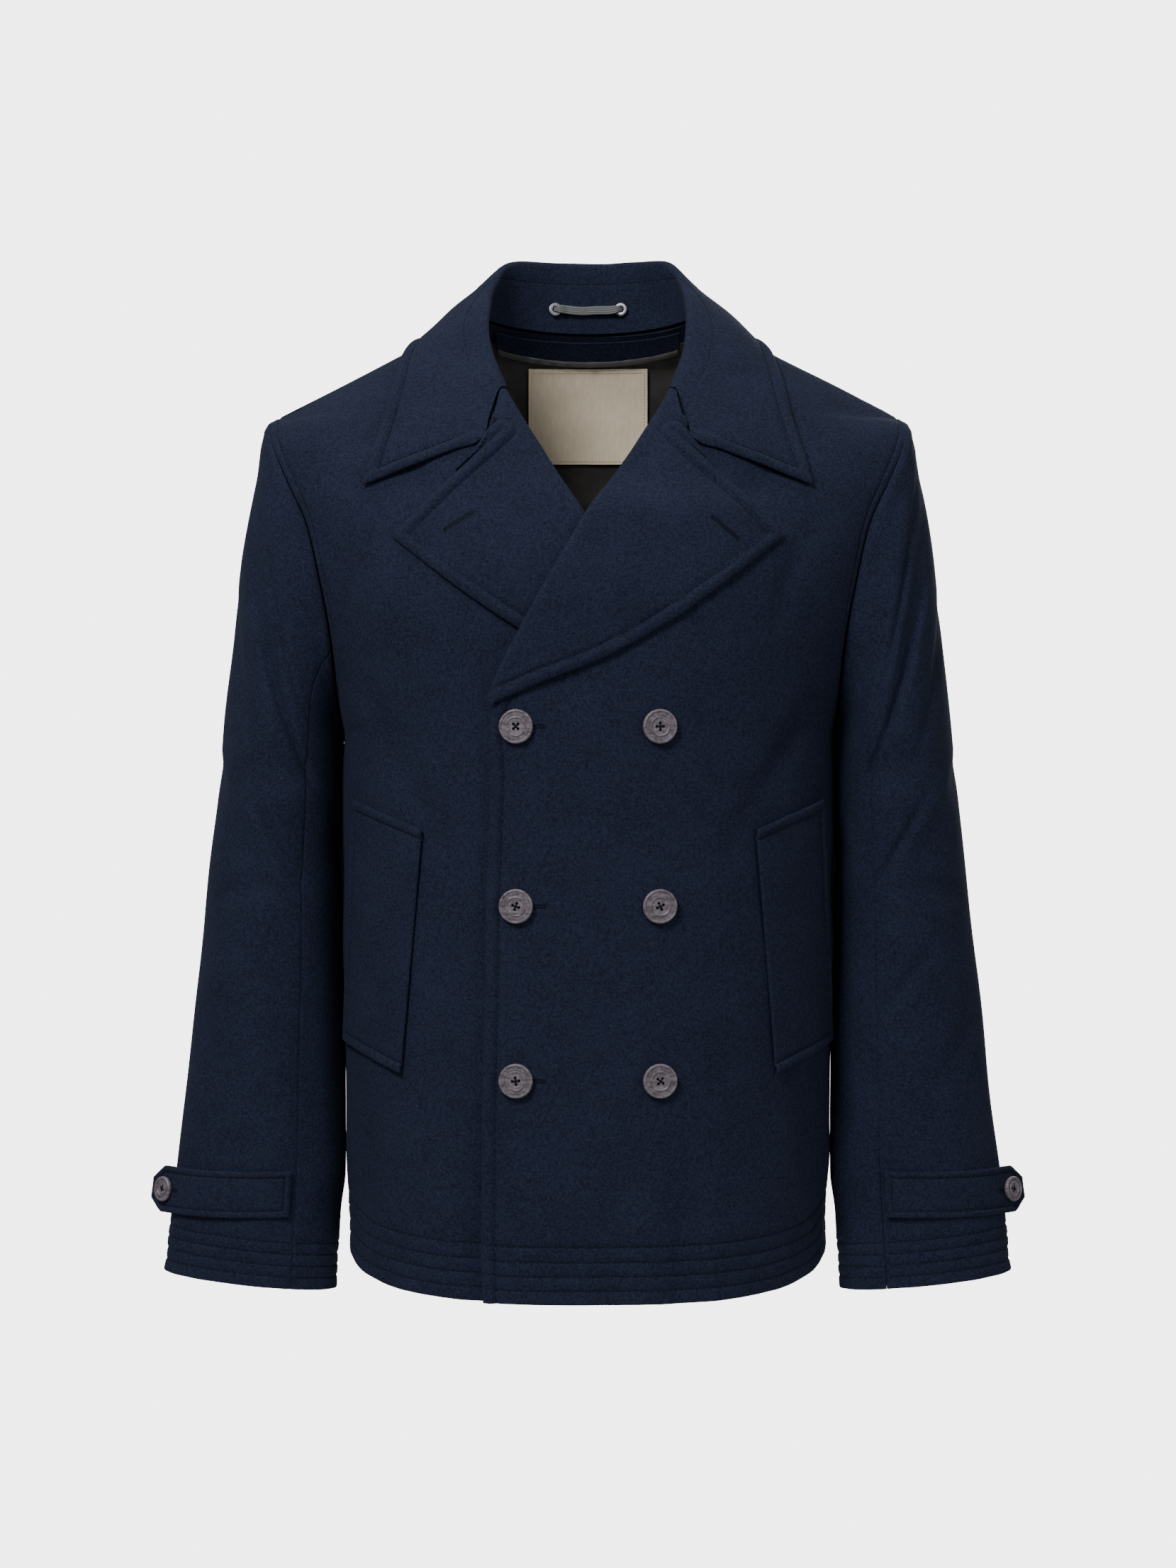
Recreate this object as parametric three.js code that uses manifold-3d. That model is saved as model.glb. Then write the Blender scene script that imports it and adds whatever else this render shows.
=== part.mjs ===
// A double-breasted wool pea coat, worn by nobody: open at the neck, hem and cuffs, and hollow inside.
// Millimetres, +Z up. The front faces -Y and the wearer's left is +X. The origin is between the two
// high points of the shoulder, at mid depth, where the coat hangs on its wearer.
import * as THREE from 'three';
import { mergeVertices } from 'three/addons/utils/BufferGeometryUtils.js';
import Module from 'manifold-3d';

// Cloth
const CLOTH = 2.4; // melton wall
const LINING = 1.0; // satin wall
const SEAM = 0.3; // space between pieces that are sewn edge to edge
const LAY = 0.4; // space between pieces that lie flat on each other
const FOLD_LAY = 1.2; // space under a folded lapel
const FALL_LAY = 2.2; // space under the collar's fall

// Body
const HEM_FRONT = -737;
const HEM_RISE = 34; // the hem is this much higher at the side seams
const ROUNDNESS = 2.3; // exponent of the body's sections, 2 is an ellipse
const UNDERARM = -316;
const CHEST = -230; // the fronts start to lean back to the shoulder above this
const NECK_HALF = 84; // half width of the neck hole at the shoulder seam
const NECK_SIDE_Z = 5;
const NECK_BACK_Z = 0;
const SHOULDER_X = 245;
const SHOULDER_Z = -77;
const BACK_CROWN = 34; // how far the back would rise over the neck hole if it were whole
const NECK_SHARE = 0.5; // the share of the back's columns that end in the neck hole
const HEM_BEND = 1.7; // the hem's rise is held back to the sides by this power
const FRONT_LEAN = { soon: 1.5, steep: 0.77 }; // powers of the lean back to the shoulder
const BACK_LEAN = { soon: 2, steep: 0.5 };
const LOW_ROWS = 8; // rows of points below the underarm
const HIGH_ROWS = 12; // and above it
const FRONT_COLUMNS = 12;
const BACK_COLUMNS = 20;
const NUDGE = 1.5; // distance either way at which slopes are taken
const SECTIONS = [
  // half width, depth of the front and depth of the back at a height
  { z: -745, wide: 184, front: 146, back: 143 },
  { z: -575, wide: 186, front: 145, back: 140 },
  { z: -460, wide: 188, front: 144, back: 137 },
  { z: -358, wide: 189, front: 144, back: 139 },
  { z: -316, wide: 189.5, front: 144, back: 141 },
  { z: -250, wide: 209, front: 144, back: 143 },
  { z: -200, wide: 227, front: 144, back: 144 },
  { z: -160, wide: 248, front: 144, back: 145 },
  { z: -128, wide: 275, front: 143, back: 145 },
  { z: -98, wide: 310, front: 143, back: 144 },
  { z: 0, wide: 340, front: 143, back: 143 },
];

// Armholes
const ARMHOLE_FRONT = 72; // half depth of the armhole before and behind the shoulder seam
const ARMHOLE_BACK = 78;
const ARMHOLE_REACH = 0.62; // the body is fitted to the armhole from this share of the way out
const ARMHOLE_X = [
  { z: -316, x: 189.5 },
  { z: -250, x: 194 },
  { z: -200, x: 203 },
  { z: -160, x: 213 },
  { z: -128, x: 228 },
  { z: -98, x: 241 },
  { z: -77, x: 245 },
];

// Front edge, and the line on which the lapel rolls, of the wearer's left front
const OVERLAP_LIFT = 7.6; // the left front lies this far out, over the right one
const OVERLAP_FADE = { fromX: 72, toX: 165, fromZ: -166, toZ: -128 }; // and settles back here
const BREAK_Z = -298; // the roll starts here
const GORGE_Z = -63; // the lapel ends and the collar starts here
const FRONT_EDGE = [
  { z: -737, x: -77 },
  { z: -700, x: -78.5 },
  { z: -530, x: -76.5 },
  { z: -358, x: -72 },
  { z: -298, x: -68 },
  { z: -172, x: 0 },
  { z: -118, x: 34 },
  { z: -63, x: 66 },
  { z: -30, x: 81 },
  { z: 5, x: 84 },
];

// Lapel edge from the break round the tip to the notch, at shares of the way up the roll
const LAPEL_EDGE = [
  { share: 0, x: -63, z: -298 },
  { share: 0.16, x: -36, z: -286 },
  { share: 0.36, x: 22, z: -261.5 },
  { share: 0.54, x: 85, z: -222 },
  { share: 0.7, x: 143, z: -177 },
  { share: 0.73, x: 143, z: -174 },
  { share: 0.86, x: 108, z: -138 },
  { share: 1, x: 75.5, z: -107 },
];
const ROLL_PUFF = 3.2; // the lapel stands this much further off near its roll
const UNDER_PUFF = 0; // the other lapel lies flat, under the first
const PUFF_MIDDLE = 0.45; // share of the way up the roll where it stands off most
const PUFF_HALF = 0.53; // and half of the stretch that does
const ROLL_SEAT = 2.2; // how far a fold's seat runs on past the front's edge
const ROLL_STEPS = 4;
const LEAF_SAMPLES = 7;
const LAPEL_STATIONS = 12;

// Collar stations from the middle of the back to the front: seat (where it is sewn), roll and fall edge
const COLLAR = [
  { seatX: 0, seatZ: 0, rollX: 0, rollY: 74, rollZ: 57, edgeX: 0, edgeY: 107, edgeZ: -38, bow: 5 },
  { seatX: 36, seatZ: 1, rollX: 37, rollY: 68, rollZ: 57, edgeX: 54, edgeY: 99, edgeZ: -37, bow: 5 },
  { seatX: 63, seatZ: 3, rollX: 62, rollY: 49, rollZ: 54, edgeX: 104, edgeY: 72, edgeZ: -33, bow: 5 },
  { seatX: 80, seatZ: 4.6, rollX: 73, rollY: 20, rollZ: 34, edgeX: 136, edgeY: 26, edgeZ: -16, bow: 4 },
  { seatX: 84, seatZ: 1, rollX: 76, rollY: -8, rollZ: 12, edgeX: 148, edgeY: -26, edgeZ: -42, bow: 3 },
  { seatX: 81.5, seatZ: -26, rollX: 75, rollY: -39, rollZ: -20, edgeX: 155, edgeY: -54, edgeZ: -88, bow: 2 },
];
const COLLAR_TIP = { x: 166, z: -137 };
const COLLAR_ROLL = 3.2; // radius of the collar's fold, to the middle of its wall
const NOTCH = { x: 77, z: -103 };
const NOTCH_SAMPLES = 2; // points of the collar's end from the roll down to the notch
const COLLAR_FRONT = 4; // first station that is sewn to a front
const SEAT_LIFT = 1.4; // how far above the neck edge the stand begins
const SEAT_INSET = 1.8; // and how far inside it
const GORGE_PUFF = 0.6;
const GORGE_GAP = 1.8; // space between the collar's end and the lapel, on the slant
const RIDGE_REACH = 40; // the fall rides over the shoulder's ridge for this far either side
const RIDGE_LIFT = 5;
const RIDGE_SLANT = 1.2; // upright distance for each millimetre square to the shoulder
const CLEAR_PASSES = 4;
const STAND_SAMPLES = 3;
const COLLAR_STATIONS = 22;

// Sleeves: outer and inner edge of each ring, half depth and middle, at shares of the way down
const SLEEVE = [
  { at: 0, outX: 245, outZ: -80, inX: 189, inZ: -316, deep: 75, y: 3 },
  { at: 0.06, outX: 251, outZ: -93, inX: 190.6, inZ: -322, deep: 77, y: 3 },
  { at: 0.13, outX: 257, outZ: -119, inX: 191.2, inZ: -331, deep: 79, y: 2 },
  { at: 0.22, outX: 265, outZ: -168, inX: 191.4, inZ: -347, deep: 80, y: 1 },
  { at: 0.33, outX: 273, outZ: -238, inX: 191.4, inZ: -374, deep: 79, y: -1 },
  { at: 0.45, outX: 281, outZ: -316, inX: 191.2, inZ: -415, deep: 76, y: -3 },
  { at: 0.57, outX: 290, outZ: -400, inX: 190.6, inZ: -465, deep: 70, y: -6 },
  { at: 0.69, outX: 298, outZ: -484, inX: 189.8, inZ: -520, deep: 63, y: -10 },
  { at: 0.8, outX: 307, outZ: -566, inX: 189, inZ: -585, deep: 54, y: -15 },
  { at: 0.9, outX: 316, outZ: -650, inX: 189, inZ: -660, deep: 45, y: -20 },
  { at: 1, outX: 324, outZ: -730, inX: 193, inZ: -744, deep: 40, y: -25 },
];
const RING_STEP = 15; // degrees between the points of a ring
const SLEEVE_RINGS = 16;
const RING_CROWD = 1.25; // power that brings the rings closer together near the head
const ELBOW_RING = 7; // each top panel is two nodes, which part at this ring
const ELBOW_GAP = 0.0003; // share of the sleeve, half of the space between them
const HEAD_SHARE = 0.2; // the share of the sleeve in which its head is fitted to the armhole
const HEAD_SPACE = 0.39; // how far off the armhole's edge it is
const SLEEVE_SEAM = 0.16; // degrees, half of the space at a sleeve seam
const SLEEVE_NUDGE = { share: 0.012, degrees: 3 };
const FORESEAM = 120; // where the two halves of a sleeve join, from the outer edge, in degrees
const HINDSEAM = 240;

// Soft troughs of the sleeves: middle in degrees and share down, half sizes, lean and depth
const SLEEVE_FOLDS = [
  { angle: 62, at: 0.24, wide: 26, long: 0.15, lean: 60, depth: 5 },
  { angle: 95, at: 0.4, wide: 24, long: 0.12, lean: -50, depth: 4.5 },
  { angle: 70, at: 0.55, wide: 34, long: 0.05, lean: 0, depth: 3.5 },
  { angle: 250, at: 0.5, wide: 34, long: 0.06, lean: 0, depth: 4.5 },
  { angle: 300, at: 0.28, wide: 24, long: 0.12, lean: -60, depth: 4 },
];
// Soft troughs of the body, up and down: middle across, height and half sizes
const BODY_FOLDS = [
  { face: -1, x: 74, z: -700, wide: 20, high: 110, depth: 3.5 },
  { face: -1, x: -128, z: -690, wide: 22, high: 90, depth: 3 },
  { face: 1, x: 62, z: -640, wide: 30, high: 170, depth: 5 },
  { face: 1, x: -58, z: -620, wide: 34, high: 190, depth: 5 },
  { face: 1, x: 128, z: -250, wide: 24, high: 90, depth: 4 },
  { face: 1, x: -126, z: -262, wide: 24, high: 90, depth: 4 },
];

// Pocket welts, corners on the wearer's left front
const WELT = {
  topIn: { x: 121, z: -391 },
  topOut: { x: 175, z: -369 },
  bottomOut: { x: 183, z: -554 },
  bottomIn: { x: 137, z: -573 },
};
const WELT_WALL = 2.8;
const WELT_COLUMNS = 5;
const WELT_ROWS = 9;

// Cuff tabs, wrapped from the foreseam and then straight off the sleeve's outer edge
const TAB_TOP = -650;
const TAB_BOTTOM = -686;
const TAB_START = 116; // degrees round the sleeve
const TAB_LEAVE = 34;
const TAB_FREE = 38; // length of its free end
const TAB_POINT = 13; // length of the pointed part of that
const TAB_TIP_HIGH = 16;
const TAB_WRAP_STEPS = 7;
const TAB_LAY = 0.9; // space between the tab and the sleeve
const TAB_BUTTON_IN = 17; // from the tip to the button's middle

// Buttons
const BUTTON = { radius: 12.7, thick: 4.2, rim: 2.4, dish: 1.3, hole: 1.35, holeSpread: 2.9 };
const CUFF_BUTTON = { radius: 9.6, thick: 3.6, rim: 1.9, dish: 1.0, hole: 1.1, holeSpread: 2.3 };
const BUTTON_EDGE = { back: 1.2, belly: 0.55, front: 0.9, crown: 0.2, slope: 1 };
const BUTTON_SIDES = 20;
const HOLE_SIDES = 6;
const BUTTON_X = 51;
const BUTTON_ROWS = [-316, -447, -574];
const BUTTON_SHANK = 0.5; // thread length that holds a button off the cloth

// Inside the neck
const LINING_LOW = 6; // the lining starts this many rows of points up the back
const LABEL = { half: 49, top: -22, bottom: -96, wall: 0.8, lay: 1.5, rows: 4, columns: 8 };
const FACING = { half: 76, middle: -16, side: -7, wall: 1.2, lay: 2.5, below: 1.5, rows: 2, columns: 14 };
const EYELET = { x: 26.5, z: 20, radius: 5.2, hole: 2.3, thick: 1.2, steps: 14 };
const LOOP = { half: 31, high: 7, wall: 1.4, columns: 8, nudge: 4 };

const NAVY = { color: 0x1d2840, roughness: 0.95, metalness: 0 };
const SATIN = { color: 0x2a2726, roughness: 0.45, metalness: 0 };
const HORN = { color: 0x6c636e, roughness: 0.45, metalness: 0 };
const LABEL_SATIN = { color: 0xbeaa8c, roughness: 0.5, metalness: 0 };
const TAPE = { color: 0x696b6a, roughness: 0.7, metalness: 0 };
const STEEL = { color: 0x8a8c9a, roughness: 0.35, metalness: 0.9 };

const coat = new THREE.Group();
const RADIANS = Math.PI / 180;

function at(x, y, z) {
  return new THREE.Vector3(x, y, z);
}

function mix(a, b, share) {
  return a + (b - a) * share;
}

function ramp(low, high, value) {
  const share = THREE.MathUtils.clamp((value - low) / (high - low), 0, 1);
  return share * share * (3 - 2 * share);
}

// A hump of height 1 at 0 that is gone at 1 and -1.
function hump(value) {
  return Math.abs(value) < 1 ? (1 - value * value) ** 2 : 0;
}

// Reads one column of a table at a value of another, on a smooth curve through the rows.
function read(table, by, column, value) {
  const last = table.length - 1;
  let k = 0;
  while (k < last - 1 && value > table[k + 1][by]) k += 1;
  const slope = (i) => {
    const before = table[Math.max(i - 1, 0)];
    const after = table[Math.min(i + 1, last)];
    return (after[column] - before[column]) / (after[by] - before[by]);
  };
  const gap = table[k + 1][by] - table[k][by];
  const f = THREE.MathUtils.clamp((value - table[k][by]) / gap, 0, 1);
  const low = table[k][column] * (1 + 2 * f) * (1 - f) ** 2 + slope(k) * gap * f * (1 - f) ** 2;
  return low + table[k + 1][column] * f * f * (3 - 2 * f) + slope(k + 1) * gap * f * f * (f - 1);
}

// The direction out of a face at each point of its rows. turned gives it where neighbours share one.
function outsOf(rows, turned = () => null) {
  const high = rows.length - 1;
  const wide = rows[0].length - 1;
  return rows.map((row, i) => row.map((_, j) => {
    const along = rows[Math.min(i + 1, high)][j].clone().sub(rows[Math.max(i - 1, 0)][j]);
    const across = row[Math.min(j + 1, wide)].clone().sub(row[Math.max(j - 1, 0)]);
    return turned(i, j) ?? along.cross(across).normalize();
  }));
}

// Turns rows of points on a face into a closed wall that lies under it.
function wall(rows, thick, outs = outsOf(rows)) {
  const high = rows.length;
  const wide = rows[0].length;
  const positions = rows.flat().flatMap((point) => point.toArray());
  const under = rows.flatMap((row, i) => (
    row.flatMap((point, j) => point.clone().addScaledVector(outs[i][j], -thick).toArray())
  ));
  const faces = [];
  const outer = (i, j) => i * wide + j;
  const inner = (i, j) => high * wide + i * wide + j;
  const quad = (a, b, c, d) => faces.push(a, b, c, a, c, d);
  for (let i = 0; i < high - 1; i += 1) {
    for (let j = 0; j < wide - 1; j += 1) {
      quad(outer(i, j), outer(i + 1, j), outer(i + 1, j + 1), outer(i, j + 1));
      quad(inner(i, j), inner(i, j + 1), inner(i + 1, j + 1), inner(i + 1, j));
    }
  }
  for (let i = 0; i < high - 1; i += 1) {
    quad(outer(i, 0), inner(i, 0), inner(i + 1, 0), outer(i + 1, 0));
    quad(outer(i, wide - 1), outer(i + 1, wide - 1), inner(i + 1, wide - 1), inner(i, wide - 1));
  }
  for (let j = 0; j < wide - 1; j += 1) {
    quad(outer(0, j), outer(0, j + 1), inner(0, j + 1), inner(0, j));
    quad(outer(high - 1, j), inner(high - 1, j), inner(high - 1, j + 1), outer(high - 1, j + 1));
  }
  const geometry = new THREE.BufferGeometry();
  geometry.setAttribute('position', new THREE.Float32BufferAttribute([...positions, ...under], 3));
  geometry.setIndex(faces);
  return geometry;
}

// The same rows seen in a mirror, with their order kept so that the face still points out.
function mirrored(rows) {
  return rows.map((row) => row.map((p) => at(-p.x, p.y, p.z)).reverse());
}

function add(name, geometry, finish) {
  const mesh = new THREE.Mesh(geometry, new THREE.MeshStandardMaterial(finish));
  mesh.name = name;
  coat.add(mesh);
  return mesh;
}

// Body

function shoulderZ(x) {
  const slope = (NECK_SIDE_Z - SHOULDER_Z) / (SHOULDER_X - NECK_HALF);
  return NECK_SIDE_Z - slope * Math.max(Math.abs(x) - NECK_HALF, 0);
}

// The body's face before it is fitted to the armholes: how far it stands from the middle plane.
// face is -1 at the front and 1 at the back.
function plainY(x, z, face) {
  const wide = read(SECTIONS, 'z', 'wide', z);
  const deep = read(SECTIONS, 'z', face < 0 ? 'front' : 'back', z);
  const round = Math.max(0, 1 - (Math.abs(x) / wide) ** ROUNDNESS) ** (1 / ROUNDNESS);
  const crown = face > 0 ? BACK_CROWN * Math.max(0, 1 - (x / NECK_HALF) ** 2) : 0;
  const top = shoulderZ(x) + crown;
  const climb = THREE.MathUtils.clamp((z - CHEST) / (top - CHEST), 0, 1);
  const lean = face < 0 ? FRONT_LEAN : BACK_LEAN;
  return face * deep * round * (1 - climb ** lean.soon) ** lean.steep;
}

// The armhole's edge at a height, as how far it stands from the middle plane.
function armholeY(z, face) {
  const middle = (UNDERARM + SHOULDER_Z) / 2;
  const high = (SHOULDER_Z - UNDERARM) / 2;
  const deep = face < 0 ? ARMHOLE_FRONT : ARMHOLE_BACK;
  return face * deep * Math.sqrt(Math.max(0, 1 - ((z - middle) / high) ** 2));
}

function bodyY(x, z, face) {
  const armX = read(ARMHOLE_X, 'z', 'x', z);
  const near = ramp(ARMHOLE_REACH, 1, Math.abs(x) / armX);
  let y = plainY(x, z, face);
  if (near > 0 && z > UNDERARM && z < SHOULDER_Z) {
    y += (armholeY(z, face) - plainY(armX, z, face)) * near;
  }
  for (const fold of BODY_FOLDS) {
    if (fold.face === face) {
      y -= face * fold.depth * hump((x - fold.x) / fold.wide) * hump((z - fold.z) / fold.high);
    }
  }
  return y;
}

function bodyOut(x, z, face) {
  const slopeX = (bodyY(x + NUDGE, z, face) - bodyY(x - NUDGE, z, face)) / (2 * NUDGE);
  const slopeZ = (bodyY(x, z + NUDGE, face) - bodyY(x, z - NUDGE, face)) / (2 * NUDGE);
  return at(-slopeX, 1, -slopeZ).multiplyScalar(face).normalize();
}

// A point that stands level millimetres off the body's face.
function onBody(x, z, face, level) {
  return at(x, bodyY(x, z, face), z).addScaledVector(bodyOut(x, z, face), level);
}

// The wearer's left front is lifted where it crosses the right one.
function lift(x, z) {
  const fade = OVERLAP_FADE;
  return OVERLAP_LIFT * (1 - ramp(fade.fromX, fade.toX, x)) * (1 - ramp(fade.fromZ, fade.toZ, z));
}

// Points of the armhole: 0 degrees is the shoulder, 90 the front, 180 the underarm.
function armhole(degrees, side) {
  const turn = degrees * RADIANS;
  const z = mix(UNDERARM, SHOULDER_Z, (1 + Math.cos(turn)) / 2);
  const deep = Math.sin(turn) > 0 ? ARMHOLE_FRONT : ARMHOLE_BACK;
  return at(side * read(ARMHOLE_X, 'z', 'x', z), -deep * Math.sin(turn), z);
}

// The height of the hem above its lowest, by how far round the body a point is.
function hemRise(x, wide) {
  const round = Math.max(0, 1 - (Math.abs(x) / wide) ** ROUNDNESS) ** (1 / ROUNDNESS);
  return HEM_RISE * (1 - round) ** HEM_BEND;
}

function shoulderOut(side) {
  return at(side * (NECK_SIDE_Z - SHOULDER_Z), 0, SHOULDER_X - NECK_HALF).normalize();
}

// The x of a point part of the way from the front edge round to the side seam, at one height.
function roundFront(across, z) {
  const wide = read(SECTIONS, 'z', 'wide', z);
  const edgeX = read(FRONT_EDGE, 'z', 'x', z);
  const first = Math.sign(edgeX) * Math.asin((Math.abs(edgeX) / wide) ** (ROUNDNESS / 2));
  const turn = mix(first, Math.PI / 2, across);
  return wide * Math.sign(turn) * Math.abs(Math.sin(turn)) ** (2 / ROUNDNESS);
}

// A point of a front. across runs from 0 at the front edge to 1 at the side, v up the rows.
function frontPoint(across, v, level) {
  if (v <= LOW_ROWS) {
    const low = v / LOW_ROWS;
    const z0 = mix(HEM_FRONT, mix(BREAK_Z, UNDERARM, across), low);
    const x = roundFront(across, z0);
    const z = z0 + hemRise(x, read(SECTIONS, 'z', 'wide', z0)) * (1 - low);
    return at(x, across === 1 ? -SEAM / 2 : bodyY(x, z, -1) - level(x, z), z);
  }
  const climb = (v - LOW_ROWS) / HIGH_ROWS;
  const arm = armhole(180 * (1 - climb), 1);
  const edgeZ = mix(BREAK_Z, NECK_SIDE_Z, climb);
  const lowX = [0, across, 1].map((share) => roundFront(share, mix(BREAK_Z, UNDERARM, share)));
  const sideways = mix((lowX[1] - lowX[0]) / (lowX[2] - lowX[0]), across, ramp(0, 1, climb));
  const x = mix(read(FRONT_EDGE, 'z', 'x', edgeZ), arm.x, sideways);
  const z = mix(edgeZ, arm.z, across);
  return at(x, Math.min(bodyY(x, z, -1), -SEAM / 2) - level(x, z), z);
}

// A point of the back. across runs from -1 to 1, from side to side.
function backPoint(across, v) {
  const side = Math.sign(across);
  const share = Math.abs(across);
  const low = Math.min(v / LOW_ROWS, 1);
  const sideways = Math.sin((share * Math.PI) / 2) ** (2 / ROUNDNESS);
  if (v <= LOW_ROWS) {
    const z0 = mix(HEM_FRONT, UNDERARM, low);
    const wide = read(SECTIONS, 'z', 'wide', z0);
    const x = wide * sideways;
    const z = z0 + hemRise(x, wide) * (1 - low);
    return share === 1 ? at(side * x, SEAM / 2, z) : onBody(side * x, z, 1, 0);
  }
  const climb = (v - LOW_ROWS) / HIGH_ROWS;
  const arm = armhole(180 * (1 + climb), 1);
  const onShoulder = Math.max(share - NECK_SHARE, 0) / (1 - NECK_SHARE);
  const inNeck = Math.sin(Math.min(share / NECK_SHARE, 1) * (Math.PI / 2));
  const topX = mix(NECK_HALF * inNeck, SHOULDER_X, onShoulder);
  const topZ = mix(mix(NECK_BACK_Z, NECK_SIDE_Z, inNeck ** 2), SHOULDER_Z, onShoulder);
  const lowX = read(SECTIONS, 'z', 'wide', UNDERARM) * sideways;
  const endX = mix(read(SECTIONS, 'z', 'wide', UNDERARM), SHOULDER_X, climb);
  const endZ = mix(UNDERARM, SHOULDER_Z, climb);
  const x = mix(lowX, topX, climb) + (arm.x - endX) * share ** 3;
  const z = mix(UNDERARM, topZ, climb) + (arm.z - endZ) * share ** 3;
  return at(side * x, Math.max(bodyY(x * side, z, 1), SEAM / 2), z);
}

function rowsOf(high, wide, pointAt) {
  return Array.from({ length: high + 1 }, (_, i) => (
    Array.from({ length: wide + 1 }, (__, j) => pointAt(i / high, j / wide))
  ));
}

function front(name, side, level) {
  const high = LOW_ROWS + HIGH_ROWS;
  const rows = rowsOf(high, FRONT_COLUMNS, (i, j) => frontPoint(1 - j, i * high, level));
  const sideColumn = side > 0 ? 0 : FRONT_COLUMNS;
  const turned = (i, j) => {
    if (i === high) return shoulderOut(side);
    return j === sideColumn && i <= LOW_ROWS ? at(side, 0, 0) : null;
  };
  const shown = side > 0 ? rows : mirrored(rows);
  add(name, wall(shown, CLOTH, outsOf(shown, turned)), NAVY);
}

function back() {
  const high = LOW_ROWS + HIGH_ROWS;
  const rows = rowsOf(high, BACK_COLUMNS, (i, j) => backPoint(2 * j - 1, i * high));
  const turned = (i, j) => {
    const across = (2 * j) / BACK_COLUMNS - 1;
    if (i === high && Math.abs(across) >= NECK_SHARE) return shoulderOut(Math.sign(across));
    return Math.abs(across) === 1 && i <= LOW_ROWS ? at(across, 0, 0) : null;
  };
  const outs = outsOf(rows, turned);
  add('back', wall(rows, CLOTH, outs), NAVY);
  return { rows, outs };
}

// Lapels and collar

// One section across a roll, on the outer face of the folded cloth: in under the front's edge, round
// the fold and out over the front to the edge. edge(f) gives x and z on the way out.
function rollSection(x, z, tangent, level, puff, edge) {
  const out = bodyOut(x, z, -1);
  const beyond = tangent.clone().cross(out).normalize();
  const base = onBody(x, z, -1, level(x, z) - CLOTH);
  const radius = (2 * CLOTH + FOLD_LAY + puff) / 2;
  const points = [SEAM, ROLL_SEAT].map((far) => base.clone().addScaledVector(beyond, far));
  for (let k = 1; k <= ROLL_STEPS; k += 1) {
    const turn = (k / ROLL_STEPS) * Math.PI;
    const point = base.clone().addScaledVector(beyond, ROLL_SEAT + radius * Math.sin(turn));
    points.push(point.addScaledVector(out, radius * (1 - Math.cos(turn))));
  }
  for (let k = 1; k <= LEAF_SAMPLES; k += 1) {
    const f = k / LEAF_SAMPLES;
    const place = edge(f);
    const height = level(place.x, place.z) + FOLD_LAY + CLOTH + puff * (1 - f) ** 2;
    points.push(onBody(place.x, place.z, -1, height));
  }
  return points;
}

// A point of the roll line at a share of the way from the break up to the gorge.
function rollLine(share) {
  const z = mix(BREAK_Z, GORGE_Z, share);
  return { x: read(FRONT_EDGE, 'z', 'x', z), z };
}

function rollTangent(share) {
  const step = 0.02;
  const low = rollLine(Math.max(share - step, 0));
  const high = rollLine(Math.min(share + step, 1));
  const from = at(low.x, bodyY(low.x, low.z, -1), low.z);
  return at(high.x, bodyY(high.x, high.z, -1), high.z).sub(from).normalize();
}

function lapel(name, side, level, puff) {
  const rows = [];
  for (let i = 0; i <= LAPEL_STATIONS; i += 1) {
    const share = 1 - i / LAPEL_STATIONS;
    const start = rollLine(share);
    const end = {
      x: read(LAPEL_EDGE, 'share', 'x', share),
      z: read(LAPEL_EDGE, 'share', 'z', share),
    };
    const edge = (f) => ({ x: mix(start.x, end.x, f), z: mix(start.z, end.z, f) });
    const swell = puff * hump((share - PUFF_MIDDLE) / PUFF_HALF);
    const down = rollTangent(share).multiplyScalar(-1);
    rows.push(rollSection(start.x, start.z, down, level, swell, edge));
  }
  add(name, wall(side > 0 ? rows : mirrored(rows), CLOTH), NAVY);
}

// The height of the body's face above a point of the floor plan.
function bodyTop(x, y) {
  const face = y < 0 ? -1 : 1;
  let low = CHEST;
  let high = shoulderZ(x) + (face > 0 ? BACK_CROWN : 0);
  while (high - low > 0.1) {
    const middle = (low + high) / 2;
    if (Math.abs(bodyY(x, middle, face)) > Math.abs(y)) low = middle;
    else high = middle;
  }
  return low;
}

// Moves a point out of the body, until it is far enough off its face and off the shoulder's ridge.
function clearOf(point, far) {
  for (let k = 0; k < CLEAR_PASSES; k += 1) {
    if (point.z < shoulderZ(point.x) + far) {
      const face = point.y < 0 ? -1 : 1;
      const out = bodyOut(point.x, point.z, face);
      const below = at(point.x, bodyY(point.x, point.z, face), point.z);
      const height = point.clone().sub(below).dot(out);
      if (height < far) point.addScaledVector(out, far - height);
    }
  }
  if (Math.abs(point.y) < RIDGE_REACH) {
    const ridge = RIDGE_LIFT * hump(point.y / RIDGE_REACH);
    point.z = Math.max(point.z, bodyTop(point.x, point.y) + RIDGE_SLANT * far + ridge);
  }
  return point;
}

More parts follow.
